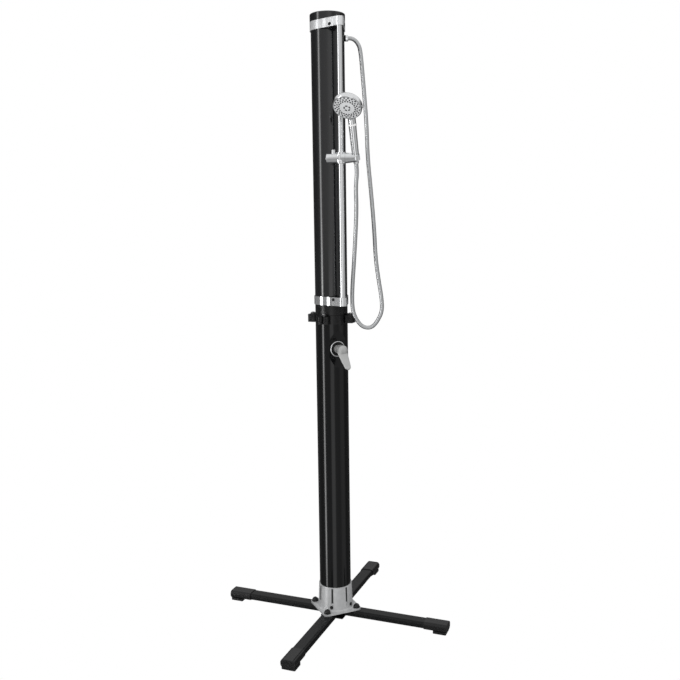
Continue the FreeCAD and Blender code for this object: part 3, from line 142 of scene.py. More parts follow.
lengths = [0.0]
for a, b in zip(route, route[1:]):
    lengths.append(lengths[-1] + (b - a).length)
hose_length = lengths[-1]
print("hose length", round(hose_length, 3), "m")


def on_route(s):
    """Point and direction at a distance along the centreline."""
    k = 0
    while k < len(lengths) - 2 and lengths[k + 1] < s:
        k += 1
    share = (s - lengths[k]) / max(lengths[k + 1] - lengths[k], 1e-9)
    return route[k].lerp(route[k + 1], share), (route[k + 1] - route[k]).normalized()


# %% [markdown]
# The metal wrap of such a hose is a strip wound in rings about 3 mm apart. Each ring is a low
# crown with a narrow groove beside it. A bump in the material would look flat at the hose's
# edges, so the rings are real: four sections per ring, each with its own rise above or below the
# tube.

# %% Hose sections
RING_LENGTH = 0.003
RING_SHAPE = [(0.0, 0.0), (0.12, -0.0002), (0.24, 0.0), (0.62, 0.00004)]  # share of a ring, rise

ring_count = int(hose_length / RING_LENGTH)
stations = [(k + share) * hose_length / ring_count
            for k in range(ring_count) for share, _ in RING_SHAPE] + [hose_length]
rises = [rise for _ in range(ring_count) for _, rise in RING_SHAPE] + [0.0]


def frames_along(distances):
    """A point and two cross directions at each distance along the hose, without twist."""
    found = []
    across = Vector((0, 0, 1))
    for s in distances:
        point, direction = on_route(s)
        across = (across - direction * across.dot(direction)).normalized()
        found.append((point, across.copy(), direction.cross(across)))
    return found


sections = frames_along(stations)
print(ring_count, "rings,", len(sections), "sections")

# %% [markdown]
# The slider carries the hose's end up and down, and the swivel, the cradle and the handset turn
# it. So the tube is cut at the heights below: the drop goes with the post, the rise with the
# carriage, and the other stretches stay where they lie. Each stretch is the same skin of rings,
# which a helper makes, because the trim and the lever need it too.

# %% Skin over rings
def ring_skin(name, rings, closed_end=False):
    """A smooth mesh that joins rings of points. All rings have the same number of points."""
    around = len(rings[0])
    faces = []
    for row in range(len(rings) - 1):
        low, high = row * around, (row + 1) * around
        for k in range(around):
            n = (k + 1) % around
            faces.append((low + k, low + n, high + n, high + k))
    if closed_end:
        faces.append([(len(rings) - 1) * around + k for k in range(around)])
    mesh = bpy.data.meshes.new(name)
    mesh.from_pydata([point for ring in rings for point in ring], [], faces)
    mesh.shade_smooth()
    return mesh


def turns(count):
    """Cosine and sine of each of a full turn's equal steps."""
    angles = [2 * math.pi * k / count for k in range(count)]
    return [(math.cos(angle), math.sin(angle)) for angle in angles]


# %% Hose cuts
DROP_END, LOOP_END = 1.80, 1.17
SWIVEL_FROM, TILT_FROM, LIFT_FROM, LIFT_END = 1.408, 1.496, 1.583, 1.665
RISE_SHARE = 0.6


def station_above(height):
    """First section above this height on the rising side of the loop."""
    return next(i for i, (point, _, _) in enumerate(sections)
                if stations[i] > hose_length * RISE_SHARE and point.z > height)


cuts = [0, next(i for i, (point, _, _) in enumerate(sections) if point.z < DROP_END)]
cuts += [station_above(height) for height in (LOOP_END, SWIVEL_FROM, TILT_FROM, LIFT_FROM)]
cuts.append(len(sections) - 1)
print("cut at", [round(stations[cut], 3) for cut in cuts], "m")

# %% Hose pieces
HOSE_R = 0.007
INSET = 0.0001
HOSE_SIDES = 20
HOSE_NAMES = ["hose_drop", "hose_loop", "hose_rise", "hose_swivel", "hose_tilt", "hose_lift"]


def hose_ring(i):
    """The points round one section of the hose."""
    point, a, b = sections[i]
    r = HOSE_R + rises[i] - INSET
    return [point + a * (r * c) + b * (r * s) for c, s in turns(HOSE_SIDES)]


hose_pieces = []
for name, first, last in zip(HOSE_NAMES, cuts, cuts[1:]):
    piece = new_object(name, ring_skin(name, [hose_ring(i) for i in range(first, last + 1)]))
    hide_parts("hose")
    hose_pieces.append(piece)
    print(name, round(stations[last] - stations[first], 3), "m")


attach(hose_pieces[0], "post")
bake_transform(hose_pieces[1])
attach(hose_pieces[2], "carriage")
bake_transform(hose_pieces[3])
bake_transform(hose_pieces[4])
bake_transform(hose_pieces[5])
print(len(hose_pieces), "hose pieces on their bodies")

# %% [markdown]
# ## Materials
# No real surface has one even colour or gloss. A picture texture would need a photograph and a
# flat layout of each piece, so each material is a small node network instead: noise in object
# coordinates changes the colour, the roughness and the bump, at the scale that the real surface
# has. The helpers add nodes, and `surface` makes the part that all materials share.

# %% Material helpers
NOISE_LOW, NOISE_HIGH = 0.3, 0.7
SMOOTHEST = 0.02


def add_node(tree, kind, inputs=None, **settings):
    """A new node. Each input is a value or another node's output, by socket name or number."""
    node = tree.nodes.new(kind)
    for setting, value in settings.items():
        setattr(node, setting, value)
    for socket, entry in (inputs or {}).items():
        if isinstance(entry, bpy.types.NodeSocket):
            tree.links.new(entry, node.inputs[socket])
        else:
            node.inputs[socket].default_value = entry
    return node


def math_node(tree, operation, *entries):
    """The output of a math node. Each entry is a number or another node's output."""
    inputs = dict(enumerate(entries))
    return add_node(tree, "ShaderNodeMath", inputs, operation=operation).outputs[0]


def ramp_node(tree, value, stops):
    """The output of a colour ramp with (position, colour) stops."""
    node = add_node(tree, "ShaderNodeValToRGB", {"Fac": value})
    ramp = node.color_ramp
    while len(ramp.elements) < len(stops):
        ramp.elements.new(0.5)
    for element, (position, color) in zip(ramp.elements, stops):
        element.position = position
        element.color = (*color, 1)
    return node.outputs["Color"]


def surface(name, color, metallic=0.0, roughness=0.4, vary=0.05, tint=0.1, scale=60.0,
            stretch=(1, 1, 1), bump=0.0, bump_scale=400.0, bump_depth=0.0002, mirror=0.5):
    """A procedural material. vary changes roughness, tint changes colour, bump is the grain's
    strength, mirror the strength of a dielectric's reflection."""
    made = bpy.data.materials.new(name)
    made.use_nodes = True
    tree = made.node_tree
    shader = tree.nodes["Principled BSDF"].inputs
    shader["Metallic"].default_value = metallic
    shader["Specular IOR Level"].default_value = mirror
    place = add_node(tree, "ShaderNodeTexCoord").outputs["Object"]
    mapping = add_node(tree, "ShaderNodeMapping", {"Vector": place, "Scale": stretch})
    place = mapping.outputs["Vector"]

    cloud = add_node(tree, "ShaderNodeTexNoise", {"Vector": place, "Scale": scale, "Detail": 4})
    cloud = cloud.outputs["Fac"]
    rough = add_node(tree, "ShaderNodeMapRange", {
        "Value": cloud, "From Min": NOISE_LOW, "From Max": NOISE_HIGH,
        "To Min": max(roughness - vary, SMOOTHEST), "To Max": roughness + vary})
    tree.links.new(rough.outputs["Result"], shader["Roughness"])
    dark = [c * (1 - tint) for c in color]
    light = [min(c * (1 + tint), 1) for c in color]
    shade = ramp_node(tree, cloud, [(NOISE_LOW, dark), (NOISE_HIGH, light)])
    tree.links.new(shade, shader["Base Color"])

    if bump:
        grain = add_node(tree, "ShaderNodeTexNoise", {
            "Vector": place, "Scale": bump_scale, "Detail": 3})
        relief = add_node(tree, "ShaderNodeBump", {
            "Height": grain.outputs["Fac"], "Strength": bump, "Distance": bump_depth})
        tree.links.new(relief.outputs["Normal"], shader["Normal"])
    return made


# %% [markdown]
# The lacquered tubes are nearly black and glossy, with a faint draw pattern along their length,
# so their noise is stretched along Z. The lower tube has a darker copy of the same lacquer that
# reflects less, which is painted shade. The moulded parts are rougher and grained, and the
# rubber is the dullest.

# %% Black finishes
LACQUER = {"roughness": 0.13, "vary": 0.02, "tint": 0.12, "scale": 90, "stretch": (1, 1, 0.03),
           "bump": 0.05, "bump_scale": 130}
materials = {
    "black_tube": surface("gloss_black", (0.003, 0.0033, 0.004), mirror=0.8, **LACQUER),
    # Painted shade: the lower tube's copy of the lacquer is darker and reflects less.
    "shaded_lower_black": surface("gloss_black_shaded", (0.002, 0.0021, 0.0024), mirror=0.4, **LACQUER),
    "black_plastic": surface("moulded_black", (0.005, 0.005, 0.0053), roughness=0.24, vary=0.08,
                             tint=0.35, scale=160, bump=0.6, bump_scale=520, bump_depth=0.0004,
                             mirror=0.4),
    "black_legs": surface("powder_black", (0.0035, 0.0036, 0.004), roughness=0.3, vary=0.05,
                          tint=0.2, scale=120, bump=0.15, bump_scale=1400, mirror=0.25),
    "black_steel": surface("blackened_steel", (0.003, 0.003, 0.0033), roughness=0.4, vary=0.08,
                           tint=0.2, scale=200, bump=0.2, bump_scale=900, mirror=0.3),
    "rubber": surface("black_rubber", (0.006, 0.006, 0.0065), roughness=0.6, vary=0.08, tint=0.2,
                      scale=400, bump=0.4, bump_scale=1500, mirror=0.25)}
print(len(materials), "black finishes")

# %% [markdown]
# The chrome of the rail and the trim is smooth and mirrors the studio. The two bands are sheet,
# one brushed and one polished, with a fine pattern along their height. A fully metallic shader
# would turn the cast collar, the bands and the lever too dark between their reflections, so these
# mix in a part of plain grey.

# %% Metal finishes
materials.update({
    "cast_aluminium": surface("die_cast", (0.44, 0.445, 0.45), metallic=0.2, roughness=0.36,
                              vary=0.06, tint=0.08, scale=70, bump=0.25, bump_scale=500),
    "steel": surface("plain_steel", (0.5, 0.5, 0.51), metallic=1.0, roughness=0.32, vary=0.08,
                     tint=0.08, scale=300, bump=0.2, bump_scale=900),
    "chrome_tube": surface("rail_chrome", (0.90, 0.91, 0.92), metallic=1.0, roughness=0.1,
                           vary=0.02, tint=0.04, scale=110, stretch=(1, 1, 0.04)),
    "brushed_band": surface("brushed_band", (0.80, 0.81, 0.82), metallic=0.6, roughness=0.26,
                            vary=0.03, tint=0.16, scale=420, stretch=(1, 1, 0.03)),
    "polished_band": surface("polished_band", (0.80, 0.81, 0.82), metallic=0.85, roughness=0.08,
                             vary=0.02, tint=0.10, scale=420, stretch=(1, 1, 0.03)),
    "chrome_trim": surface("chrome", (0.90, 0.91, 0.92), metallic=1.0, roughness=0.12, vary=0.03,
                           tint=0.04, scale=160),
    # Painted highlight: a near white, mostly diffuse finish for the chrome ring on the handset's
    # neck.
    "highlight_ring": surface("highlight_ring", (0.92, 0.92, 0.92), metallic=0.2, roughness=0.25,
                           vary=0.03, tint=0.03, scale=160),
    "lever_metal": surface("satin_chrome", (0.47, 0.475, 0.47), metallic=0.55, roughness=0.34,
                           vary=0.05, tint=0.05, scale=250, bump=0.2, bump_scale=900),
    "brass": surface("machined_brass", (0.62, 0.46, 0.2), metallic=1.0, roughness=0.28, vary=0.07,
                     tint=0.1, scale=200, bump=0.15, bump_scale=700),
    "hose_metal": surface("hose_wrap", (0.60, 0.61, 0.62), metallic=1.0, roughness=0.2, vary=0.03,
                          tint=0.04, scale=60)})
print(len(materials), "finishes with the metals")

# %% [markdown]
# The pipes inside and the spray face are pale moulded plastic. Each solid then gets the finish of
# its material slot in the record. A few look different in the picture, so their finish is named
# here.

# %% Pale plastics, and a finish for each solid
materials.update({
    "inner_pipe": surface("pipe_plastic", (0.62, 0.62, 0.6), roughness=0.45, vary=0.05, tint=0.05,
                          scale=80, bump=0.1, bump_scale=500),
    "spray_plate": surface("grey_plate", (0.70, 0.71, 0.72), roughness=0.3, vary=0.05, tint=0.04,
                           scale=150, bump=0.12, bump_scale=900)})
# Among these, the lower tube's darker lacquer is painted shade and the collar's near white ring a
# painted highlight.
OTHER_FINISHES = {
    "lower_tube": "shaded_lower_black", "upper_band": "brushed_band", "lower_band": "polished_band",
    "mixer_sleeve": "lever_metal", "handset_collar": "highlight_ring",
    "cartridge_nut": "black_steel", "mixer_body": "black_steel"}

slot_of = {part["node"]: part["material_slot"] for part in frame["record"]["subparts"]}
for name, node in nodes.items():
    node.data.materials.clear()
    node.data.materials.append(materials[OTHER_FINISHES.get(name, slot_of[name])])
for piece in hose_pieces:
    piece.data.materials.append(materials["hose_metal"])
print(len(materials), "materials on", len(nodes), "nodes")

# %% [markdown]
# The collar's seven grooves are cast, and the shade at their bottoms is painted: a mask darkens
# the collar's colour there. Seven dark pieces could be laid in them, but a mask in the collar's
# own material can't stand proud. The angle about the column picks the groove, and the height
# picks its length.

# %% Painted shade in the collar's grooves
GROOVES = 7
GROOVE_TURN = math.radians(-34.3)
GROOVE_FOOT, GROOVE_TOP = 0.070, 0.127
GROOVE_EDGE = (0.15, 0.24)
# Painted shade: this colour darkens the grooves' bottoms.
GROOVE_SHADE = (0.02, 0.02, 0.02, 1)


def object_axes(tree):
    """X, Y and Z of the object coordinates."""
    place = add_node(tree, "ShaderNodeTexCoord").outputs["Object"]
    return add_node(tree, "ShaderNodeSeparateXYZ", {"Vector": place}).outputs


tree = materials["cast_aluminium"].node_tree
shader = tree.nodes["Principled BSDF"].inputs
axes = object_axes(tree)
back = math_node(tree, "MULTIPLY", axes["Y"], -1.0)
azimuth = math_node(tree, "ARCTAN2", axes["X"], back)
phase = math_node(tree, "MULTIPLY_ADD", azimuth, GROOVES / 2, -GROOVE_TURN * GROOVES / 2)
wave = math_node(tree, "ABSOLUTE", math_node(tree, "SINE", phase))
edge = add_node(tree, "ShaderNodeMapRange", {
    "Value": wave, "From Min": GROOVE_EDGE[0], "From Max": GROOVE_EDGE[1],
    "To Min": 1.0, "To Max": 0.0})
above = math_node(tree, "GREATER_THAN", axes["Z"], GROOVE_FOOT)
below = math_node(tree, "LESS_THAN", axes["Z"], GROOVE_TOP)
span = math_node(tree, "MULTIPLY", above, below)
mask = math_node(tree, "MULTIPLY", edge.outputs["Result"], span)
cast_color = shader["Base Color"].links[0].from_socket
# Painted shade: the mask lays the dark colour over the collar's own in the grooves.
groove_shade_mix = add_node(tree, "ShaderNodeMix", {
    "Factor": mask, "A": cast_color, "B": GROOVE_SHADE}, data_type="RGBA")
tree.links.new(groove_shade_mix.outputs["Result"], shader["Base Color"])
print(GROOVES, "dark grooves")

# %% [markdown]
# The bands are bent from sheet, and their flanks stay slightly wavy, which draws upright stripes
# in their reflections. Waves this shallow would need a very fine mesh, so a gentle bump along the
# flank makes them. It fades out before the nose round the rail, which is smooth.

# %% Wavy flanks of the bands
WAVE_LENGTH = 0.028
WAVE_START = 0.898
NOSE_FADE = (-0.080, -0.068)
WAVE_DEPTHS = {"brushed_band": 0.00018, "polished_band": 0.0006}
for name, depth in WAVE_DEPTHS.items():
    tree = materials[name].node_tree
    axes = object_axes(tree)
    phase = math_node(tree, "MULTIPLY_ADD", axes["Y"], 2 * math.pi / WAVE_LENGTH, WAVE_START)
    fade = add_node(tree, "ShaderNodeMapRange", {
        "Value": axes["Y"], "From Min": NOSE_FADE[0], "From Max": NOSE_FADE[1]})
    height = math_node(tree, "MULTIPLY", math_node(tree, "SINE", phase), fade.outputs["Result"])
    relief = add_node(tree, "ShaderNodeBump", {"Height": height, "Distance": depth})
    tree.links.new(relief.outputs["Normal"], tree.nodes["Principled BSDF"].inputs["Normal"])
    print(name, "waves", depth * 1000, "mm deep")

# %% [markdown]
# ## Spray face
# Each rubber nozzle stands in a low moulded lip. Sixty copies could be placed in a loop, but
# Geometry Nodes puts one lip on every point of a circle, with its sizes as inputs. The result is
# turned into a plain mesh on the crowned face, one for each of the three circles.

# %% Nozzle lips
FACE_CENTRE = Vector((-0.01957, -0.2017, 1.84395))
FACE_FRONT = Vector((-0.438989, -0.487547, -0.75471))
FACE_ACROSS = Vector((0.743145, -0.669131, 0.0))
FACE_R = 0.0456
CROWN_RISE = 0.004
NOZZLE_CIRCLES = [(0.0408, 0.0), (0.0342, 9.0), (0.0276, 18.0)]  # radius, turn in degrees
NOZZLE_COUNT = 20
LIP_R, LIP_THICKNESS, LIP_RISE = 0.0013, 0.0014, 0.001

face_frame = Matrix((FACE_ACROSS, FACE_FRONT.cross(FACE_ACROSS), FACE_FRONT)).transposed().to_4x4()
face_frame.translation = FACE_CENTRE


def lip_group():
    """Node group with one small ring on each point of a circle, and its inputs' identifiers."""
    group = bpy.data.node_groups.new("nozzle_lips", "GeometryNodeTree")
    kinds = {"Radius": "Float", "Turn": "Float", "Count": "Int", "Lip Radius": "Float",
             "Lip Thickness": "Float", "Material": "Material"}
    sockets = {name: group.interface.new_socket(name=name, in_out="INPUT",
                                                socket_type="NodeSocket" + kind).identifier
               for name, kind in kinds.items()}
    group.interface.new_socket(name="Geometry", in_out="OUTPUT", socket_type="NodeSocketGeometry")
    given = add_node(group, "NodeGroupInput").outputs
    circle = add_node(group, "GeometryNodeMeshCircle", {
        "Vertices": given["Count"], "Radius": given["Radius"]})
    spin = add_node(group, "ShaderNodeCombineXYZ", {"Z": given["Turn"]})
    spun = add_node(group, "GeometryNodeTransform", {
        "Geometry": circle.outputs["Mesh"], "Rotation": spin.outputs["Vector"]})
    ring = add_node(group, "GeometryNodeCurvePrimitiveCircle", {
        "Resolution": 20, "Radius": given["Lip Radius"]})
    wire = add_node(group, "GeometryNodeCurvePrimitiveCircle", {
        "Resolution": 8, "Radius": given["Lip Thickness"]})
    lip = add_node(group, "GeometryNodeCurveToMesh", {
        "Curve": ring.outputs["Curve"], "Profile Curve": wire.outputs["Curve"]})
    copies = add_node(group, "GeometryNodeInstanceOnPoints", {
        "Points": spun.outputs["Geometry"], "Instance": lip.outputs["Mesh"]})
    real = add_node(group, "GeometryNodeRealizeInstances", {
        "Geometry": copies.outputs["Instances"]})
    painted = add_node(group, "GeometryNodeSetMaterial", {
        "Geometry": real.outputs["Geometry"], "Material": given["Material"]})
    add_node(group, "NodeGroupOutput", {"Geometry": painted.outputs["Geometry"]})
    return group, sockets


group, sockets = lip_group()
for index, (radius, turn) in enumerate(NOZZLE_CIRCLES):
    maker = new_object("maker", bpy.data.meshes.new("maker"))
    modifier = maker.modifiers.new("lips", "NODES")
    modifier.node_group = group
    values = {"Radius": radius, "Turn": math.radians(turn), "Count": NOZZLE_COUNT,
              "Lip Radius": LIP_R, "Lip Thickness": LIP_THICKNESS, "Material": materials["rubber"]}
    for socket, value in values.items():
        modifier[sockets[socket]] = value
    bpy.context.view_layer.update()
    evaluated = maker.evaluated_get(bpy.context.evaluated_depsgraph_get())
    mesh = bpy.data.meshes.new_from_object(evaluated)
    bpy.data.objects.remove(maker)
    crown = CROWN_RISE * (1 - (radius / FACE_R) ** 2)
    mesh.transform(face_frame @ Matrix.Translation((0, 0, LIP_RISE + crown)))
    mesh.shade_smooth()
    piece = new_object(f"nozzle_lips_{index}", mesh)
    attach(piece, "handset")
    print(piece.name, len(mesh.polygons), "faces")

# %% [markdown]
# Five curved slots round the middle of the face are shaded inside. The solid has the slots, but
# light still reaches their floors, so a dark lining of painted shade lies over each: an arc with
# edges that turn down.

# %% Painted shade in the slots
SLOT_COUNT = 5
SLOT_HALF_ANGLE = math.radians(24)
SLOT_STEPS = 8
SLOT_PROUD = 0.0051
SLOT_PROFILE = [(0.0069, 0.001), (0.0072, 0), (0.0117, 0.0001), (0.0120, 0.001)]  # radius, drop


def dress(piece, body, slot, finish=None):
    """Give a piece its body and its material: the finish if one is named, else the slot's."""
    piece.data.materials.append(materials[finish or slot])
    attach(piece, body)
    print(piece.name, len(piece.data.polygons), "faces")


for index in range(SLOT_COUNT):
    middle = math.radians(90 + 360 / SLOT_COUNT * index)
    vertices, faces = [], []
    for step in range(SLOT_STEPS + 1):
        angle = middle + SLOT_HALF_ANGLE * (2 * step / SLOT_STEPS - 1)
        vertices += [(math.cos(angle) * r, math.sin(angle) * r, SLOT_PROUD - drop)
                     for r, drop in SLOT_PROFILE]
    for step in range(SLOT_STEPS):
        here, there = len(SLOT_PROFILE) * step, len(SLOT_PROFILE) * (step + 1)
        faces += [(here + m, here + m + 1, there + m + 1, there + m)
                  for m in range(len(SLOT_PROFILE) - 1)]
    mesh = bpy.data.meshes.new(f"slot_shade_lining_{index}")
    mesh.from_pydata(vertices, [], faces)
    mesh.transform(face_frame)
    # Each lining is painted shade, a black sheet over a slot's floor.
    dress(new_object(f"slot_shade_lining_{index}", mesh), "handset", "rubber")

# %% [markdown]
# ## Turned trim
# The ring on the handset's neck and the dished caps on the bands' screws are turned pieces. The
# Spin tool could make them, but a short profile of radius and height, swept by the helper for
# rings, gives the same shape with its faces the right way out. The ring is chrome, and its near
# white, mostly diffuse finish is a painted highlight.

# %% Turned trim
HANDLE_AXIS = Vector((-0.206773, -0.229644, 0.951057))
COLLAR_AT = Vector((0.01659, -0.1615, 1.7917))
NECK_RING = [(0.0132, -0.0012), (0.0147, -0.0006), (0.0149, 0.0022), (0.0147, 0.0048),
             (0.0132, 0.0054)]
TURNED_SIDES = 40


def turned(name, profile, base, axis):
    """A surface of revolution. The profile has pairs of radius and height along the axis."""
    mesh = ring_skin(name, [[(radius * c, radius * s, height) for c, s in turns(TURNED_SIDES)]
                            for radius, height in profile])
    upright = Vector(axis).to_track_quat("Z", "Y").to_matrix().to_4x4()
    mesh.transform(Matrix.Translation(base) @ upright)
    return new_object(name, mesh)


neck_ring = turned("neck_ring", NECK_RING, COLLAR_AT, HANDLE_AXIS)
# The neck ring's near white finish is a painted highlight on chrome.
dress(neck_ring, "handset", "chrome_trim", "highlight_ring")

# %% [markdown]
# Each band is a teardrop that is bent round the column and the rail, with a screw through each
# flank. The caps sit square on the flank, so their place comes from the band's own sizes: the
# flank runs from the circle at the column to the small circle at the nose. Their black is the
# screws' own, and their width also takes in the shade round each screw, which is painted shadow.

# %% Screw caps
RAIL_OUT, NOSE_R, FLANK_R = 0.1015, 0.0145, 0.06100
SCREW_SHARE = 0.66
BAND_MIDDLE = 0.01475
CAP_ROWS = [("lower", 1.1828, 0.0065), ("upper", 2.1212, -0.0065)]  # band, its foot, shift
CAP_SHAPE = [(0.0056, 0.0), (0.0056, 0.0007), (0.0050, 0.0017), (0.0034, 0.0023),
             (0.0026, 0.0022), (0.0022, 0.0010), (0.0, 0.0010)]

lean = math.asin((FLANK_R - NOSE_R) / RAIL_OUT)
for band, foot, shift in CAP_ROWS:
    for side, sign in (("left", -1), ("right", 1)):
        out = Vector((sign * math.cos(lean), -math.sin(lean), 0))
        nose = Vector((0, -RAIL_OUT, 0)) + out * NOSE_R
        at = (out * FLANK_R).lerp(nose, SCREW_SHARE) + Vector((0, 0, foot + BAND_MIDDLE + shift))
        # The caps' black is the screws' own; their extra width is painted shadow.
        dress(turned(f"screw_cap_{band}_{side}", CAP_SHAPE, at, out), "post", "black_steel")

# %% [markdown]
# ## Slider body
# The slider's left end is a little fuller than its right. Modelling it anew would lose the fit
# round the rail and the button, so a copy of the solid's mesh is swelled about the slider's axis,
# most at the left and not at all where the cradle sits. Only the barrel swells, and not what
# rises above it.

# %% Slider body
SLIDER_AT = Vector((0, -0.1015, 1.6885))
SLIDER_AXIS = Vector((0.743145, -0.669131, 0.0))
CRADLE_JOINT = 0.019
SWELL = 0.13
SWELL_LENGTH = 0.03
BARREL_R = 0.0155


def copy_of(node, name):
    """A piece with a copy of a CAD node's mesh, which stands for the node."""
    mesh = nodes[node].data.copy()
    mesh.materials.clear()
    piece = new_object(name, mesh)
    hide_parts(node)
    return piece


full_slider = copy_of("slider_body", "full_slider")
for vertex in full_slider.data.vertices:
    away = vertex.co - SLIDER_AT
    along = away.dot(SLIDER_AXIS)
    share = min(max((CRADLE_JOINT - along) / SWELL_LENGTH, 0), 1)
    axis_point = SLIDER_AT + SLIDER_AXIS * along
    if abs(away.z) < BARREL_R:
        vertex.co = axis_point + (vertex.co - axis_point) * (1 + SWELL * share)
dress(full_slider, "slider", "chrome_trim")

# %% [markdown]
# ## Button spring
# The spring under the release button gets shorter as the button goes down its 4 mm. A copy of
# its coil, with a mesh of its own, takes the solid's place on the slider.

# %% Button spring
button_coil = copy_of("button_spring", "button_coil")
dress(button_coil, "slider", "steel")
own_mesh(button_coil)

# %% [markdown]
# ## Lever
# The lever's blade widens towards the hub and ends in a broad round tip. A bevelled box would
# have flat faces, so the blade is a skin over flat oval rings along its length. A thin dark ring
# near its foot is the seam against the hub.

# %% Lever blade
BLADE_LEAN = math.radians(45)
BLADE_FOOT = Vector((0, -0.0855, 1.0230))
BLADE_DOWN = Vector((0, -math.sin(BLADE_LEAN), -math.cos(BLADE_LEAN)))
BLADE_UP = Vector((0, -math.cos(BLADE_LEAN), math.sin(BLADE_LEAN)))
BLADE_STATIONS = [  # distance along, half width, half thickness
    (0.000, 0.0184, 0.0046), (0.004, 0.0187, 0.0046), (0.020, 0.0177, 0.0045),
    (0.040, 0.0157, 0.0044), (0.058, 0.0138, 0.0043), (0.070, 0.0122, 0.0042),
    (0.0765, 0.0102, 0.0041), (0.0805, 0.0074, 0.0038), (0.0825, 0.0046, 0.0030),
    (0.0832, 0.0018, 0.0014)]
SEAM_STATIONS = [(0.0030, 0.0188, 0.0047), (0.0050, 0.0188, 0.0047)]
BLADE_SIDES = 28
WIDE_POWER, HIGH_POWER = 0.55, 0.7


def oval_ring(along, half_width, half_thick):
    """A ring like a box with round corners, square to the blade."""
    centre = BLADE_FOOT + BLADE_DOWN * along
    ring = []
    for c, s in turns(BLADE_SIDES):
        wide = math.copysign(abs(c) ** WIDE_POWER, c) * half_width
        high = math.copysign(abs(s) ** HIGH_POWER, s) * half_thick
        ring.append(centre + BLADE_UP * high + Vector((wide, 0, 0)))
    return ring


def flat_bar(name, rows):
    """A flat oval bar through the rows of sizes, closed at its far end."""
    return new_object(name, ring_skin(name, [oval_ring(*row) for row in rows], closed_end=True))


dress(flat_bar("lever_blade", BLADE_STATIONS), "lever", "lever_metal")
dress(flat_bar("lever_seam", SEAM_STATIONS), "lever", "lever_metal", "black_steel")

# %% [markdown]
# ## Floor and light
# The floor is plain white for the camera, so the object stands on a clean page, and pale cloth
# for all other rays. It could be lit until it clips, but then the object would get too much light
# too.

# %% Floor
FLOOR_HALF = 30
FLOOR_DROP = 0.0005
CLOTH_COLOR = (0.75, 0.75, 0.75, 1)

corners = [(sx * FLOOR_HALF, sy * FLOOR_HALF, 0) for sx, sy in ((-1, -1), (1, -1), (1, 1), (-1, 1))]
floor_mesh = bpy.data.meshes.new("floor")
floor_mesh.from_pydata(corners, [], [(0, 1, 2, 3)])
floor = new_object("floor", floor_mesh)
floor.location.z = -FLOOR_DROP
floor.visible_glossy = False

floor_paint = bpy.data.materials.new("floor")
floor_paint.use_nodes = True
tree = floor_paint.node_tree
tree.nodes.clear()
rays = add_node(tree, "ShaderNodeLightPath")
white = add_node(tree, "ShaderNodeEmission", {"Strength": 1.0})
cloth = add_node(tree, "ShaderNodeBsdfDiffuse", {"Color": CLOTH_COLOR})
camera_mix = add_node(tree, "ShaderNodeMixShader", {
    "Fac": rays.outputs["Is Camera Ray"], 1: cloth.outputs["BSDF"], 2: white.outputs["Emission"]})
add_node(tree, "ShaderNodeOutputMaterial", {"Surface": camera_mix.outputs["Shader"]})
floor_mesh.materials.append(floor_paint)
print("floor", 2 * FLOOR_HALF, "m wide")

# %% [markdown]
# Reflections see a studio that the camera doesn't. Lamps and cards could stand round the object,
# but then they would show in views from other sides, so the studio is painted on the world's
# sphere. It has two rows of tall soft panels, one above the horizon and one below, with dark
# cloth behind, an even light overhead and one bright narrow strip at the left. So the lacquer
# shows one thin highlight, and the chrome shows stripes.

# %% Studio around the object
# Heading in degrees, seen from above: 0 is the front, 90 the right. The value is the brightness.
UPPER_PANELS = [
    (-180, 0.08), (-150, 0.08), (-125, 0.14), (-104, 0.25), (-96, 0.60), (-70, 0.50), (-35, 0.55),
    (-12, 0.80), (0, 0.75), (10, 0.40), (24, 0.40), (36, 0.60), (58, 0.58), (74, 0.14),
    (110, 0.08), (180, 0.08)]
LOWER_PANELS = [
    (-180, 0.10), (-120, 0.14), (-104, 0.22), (-96, 0.34), (-50, 0.30), (-41, 0.32), (-36, 1.10),
    (-16, 1.10), (-10, 0.36), (24, 0.32), (36, 0.50), (58, 0.45), (74, 0.12), (110, 0.08),
    (180, 0.10)]
OVERHEAD = 0.75
STRIP_HEADING, STRIP_WIDTH, STRIP_LIGHT = -88.5, 8.0, 8.8
FILL_BELOW, FILL_RISE = 0.35, 0.75

# Height on the sphere, 0 is straight down, 0.5 the horizon and 1 straight up, with a share.
LOWER_SHARE = [(0.44, 1.0), (0.49, 0.0)]
OVERHEAD_SHARE = [(0.62, 0.0), (0.76, 1.0)]
STRIP_SHARE = [(0.27, 0.0), (0.31, 1.0), (0.45, 1.0), (0.50, 0.5), (0.75, 0.5), (0.85, 0.0)]

world = bpy.data.worlds.new("studio")
bpy.context.scene.world = world
world.use_nodes = True
tree = world.node_tree
tree.nodes.clear()


def calc(operation, *entries):
    """A math node in the studio's tree."""
    return math_node(tree, operation, *entries)


def blend_node(low, high, share):
    """low where the share is 0 and high where it is 1."""
    return calc("MULTIPLY_ADD", share, calc("SUBTRACT", high, low), low)


def fade_node(value, stops):
    """A grey ramp from (position, brightness) stops."""
    return ramp_node(tree, value, [(position, (light, light, light)) for position, light in stops])


def panel_row(around, panels):
    """The brightness of a row of panels."""
    return fade_node(around, [((angle + 180) / 360, light) for angle, light in panels])


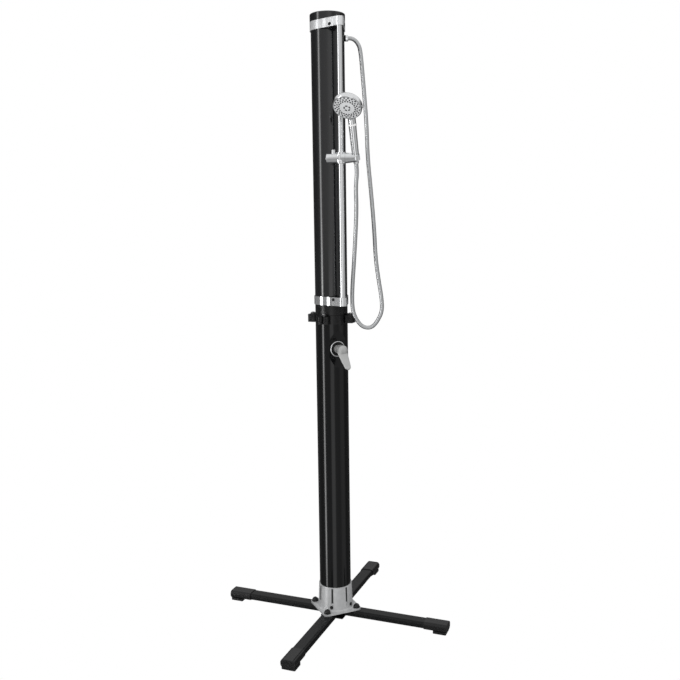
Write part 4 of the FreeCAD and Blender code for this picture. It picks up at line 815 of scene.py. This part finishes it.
sky = add_node(tree, "ShaderNodeTexCoord").outputs["Generated"]
axes = add_node(tree, "ShaderNodeSeparateXYZ", {"Vector": sky}).outputs
back = calc("MULTIPLY", axes["Y"], -1.0)
heading = calc("MULTIPLY", calc("ARCTAN2", axes["X"], back), 180 / math.pi)
around = calc("MULTIPLY_ADD", heading, 1 / 360, 0.5)
lift = calc("MULTIPLY_ADD", axes["Z"], 0.5, 0.5)
upper, lower = panel_row(around, UPPER_PANELS), panel_row(around, LOWER_PANELS)
panels = blend_node(upper, lower, fade_node(lift, LOWER_SHARE))
panels = blend_node(panels, OVERHEAD, fade_node(lift, OVERHEAD_SHARE))
offset = calc("ABSOLUTE", calc("SUBTRACT", heading, STRIP_HEADING))
near = calc("SUBTRACT", 1.0, calc("DIVIDE", offset, STRIP_WIDTH))
strip = calc("MULTIPLY", calc("MAXIMUM", near, 0.0), STRIP_LIGHT)
shine = calc("MULTIPLY_ADD", strip, fade_node(lift, STRIP_SHARE), panels)
fill = calc("MULTIPLY_ADD", lift, FILL_RISE, FILL_BELOW)
rays = add_node(tree, "ShaderNodeLightPath").outputs
unseen = blend_node(fill, shine, rays["Is Glossy Ray"])
seen = blend_node(unseen, 1.0, rays["Is Camera Ray"])
background = add_node(tree, "ShaderNodeBackground", {"Color": (1, 1, 1, 1), "Strength": seen})
add_node(tree, "ShaderNodeOutputWorld", {"Surface": background.outputs["Background"]})
print(len(UPPER_PANELS) + len(LOWER_PANELS), "panel stops")

# %% [markdown]
# One large soft lamp at the upper left gives the forms a light and a dark side. It doesn't show
# in reflections, where the painted studio stands.

# %% Key light
KEY_WATTS, KEY_SIZE = 55, 1.6
KEY_AT = Vector((-2.4, -2.6, 3.4))
KEY_AIM = Vector((0, 0, 1.2))

key_data = bpy.data.lights.new("key", "AREA")
key_data.energy = KEY_WATTS
key_data.size = KEY_SIZE
key = new_object("key", key_data)
key.location = KEY_AT
key.rotation_euler = (KEY_AIM - KEY_AT).to_track_quat("-Z", "Y").to_euler()
key.visible_glossy = False
print("key light", KEY_WATTS, "W")
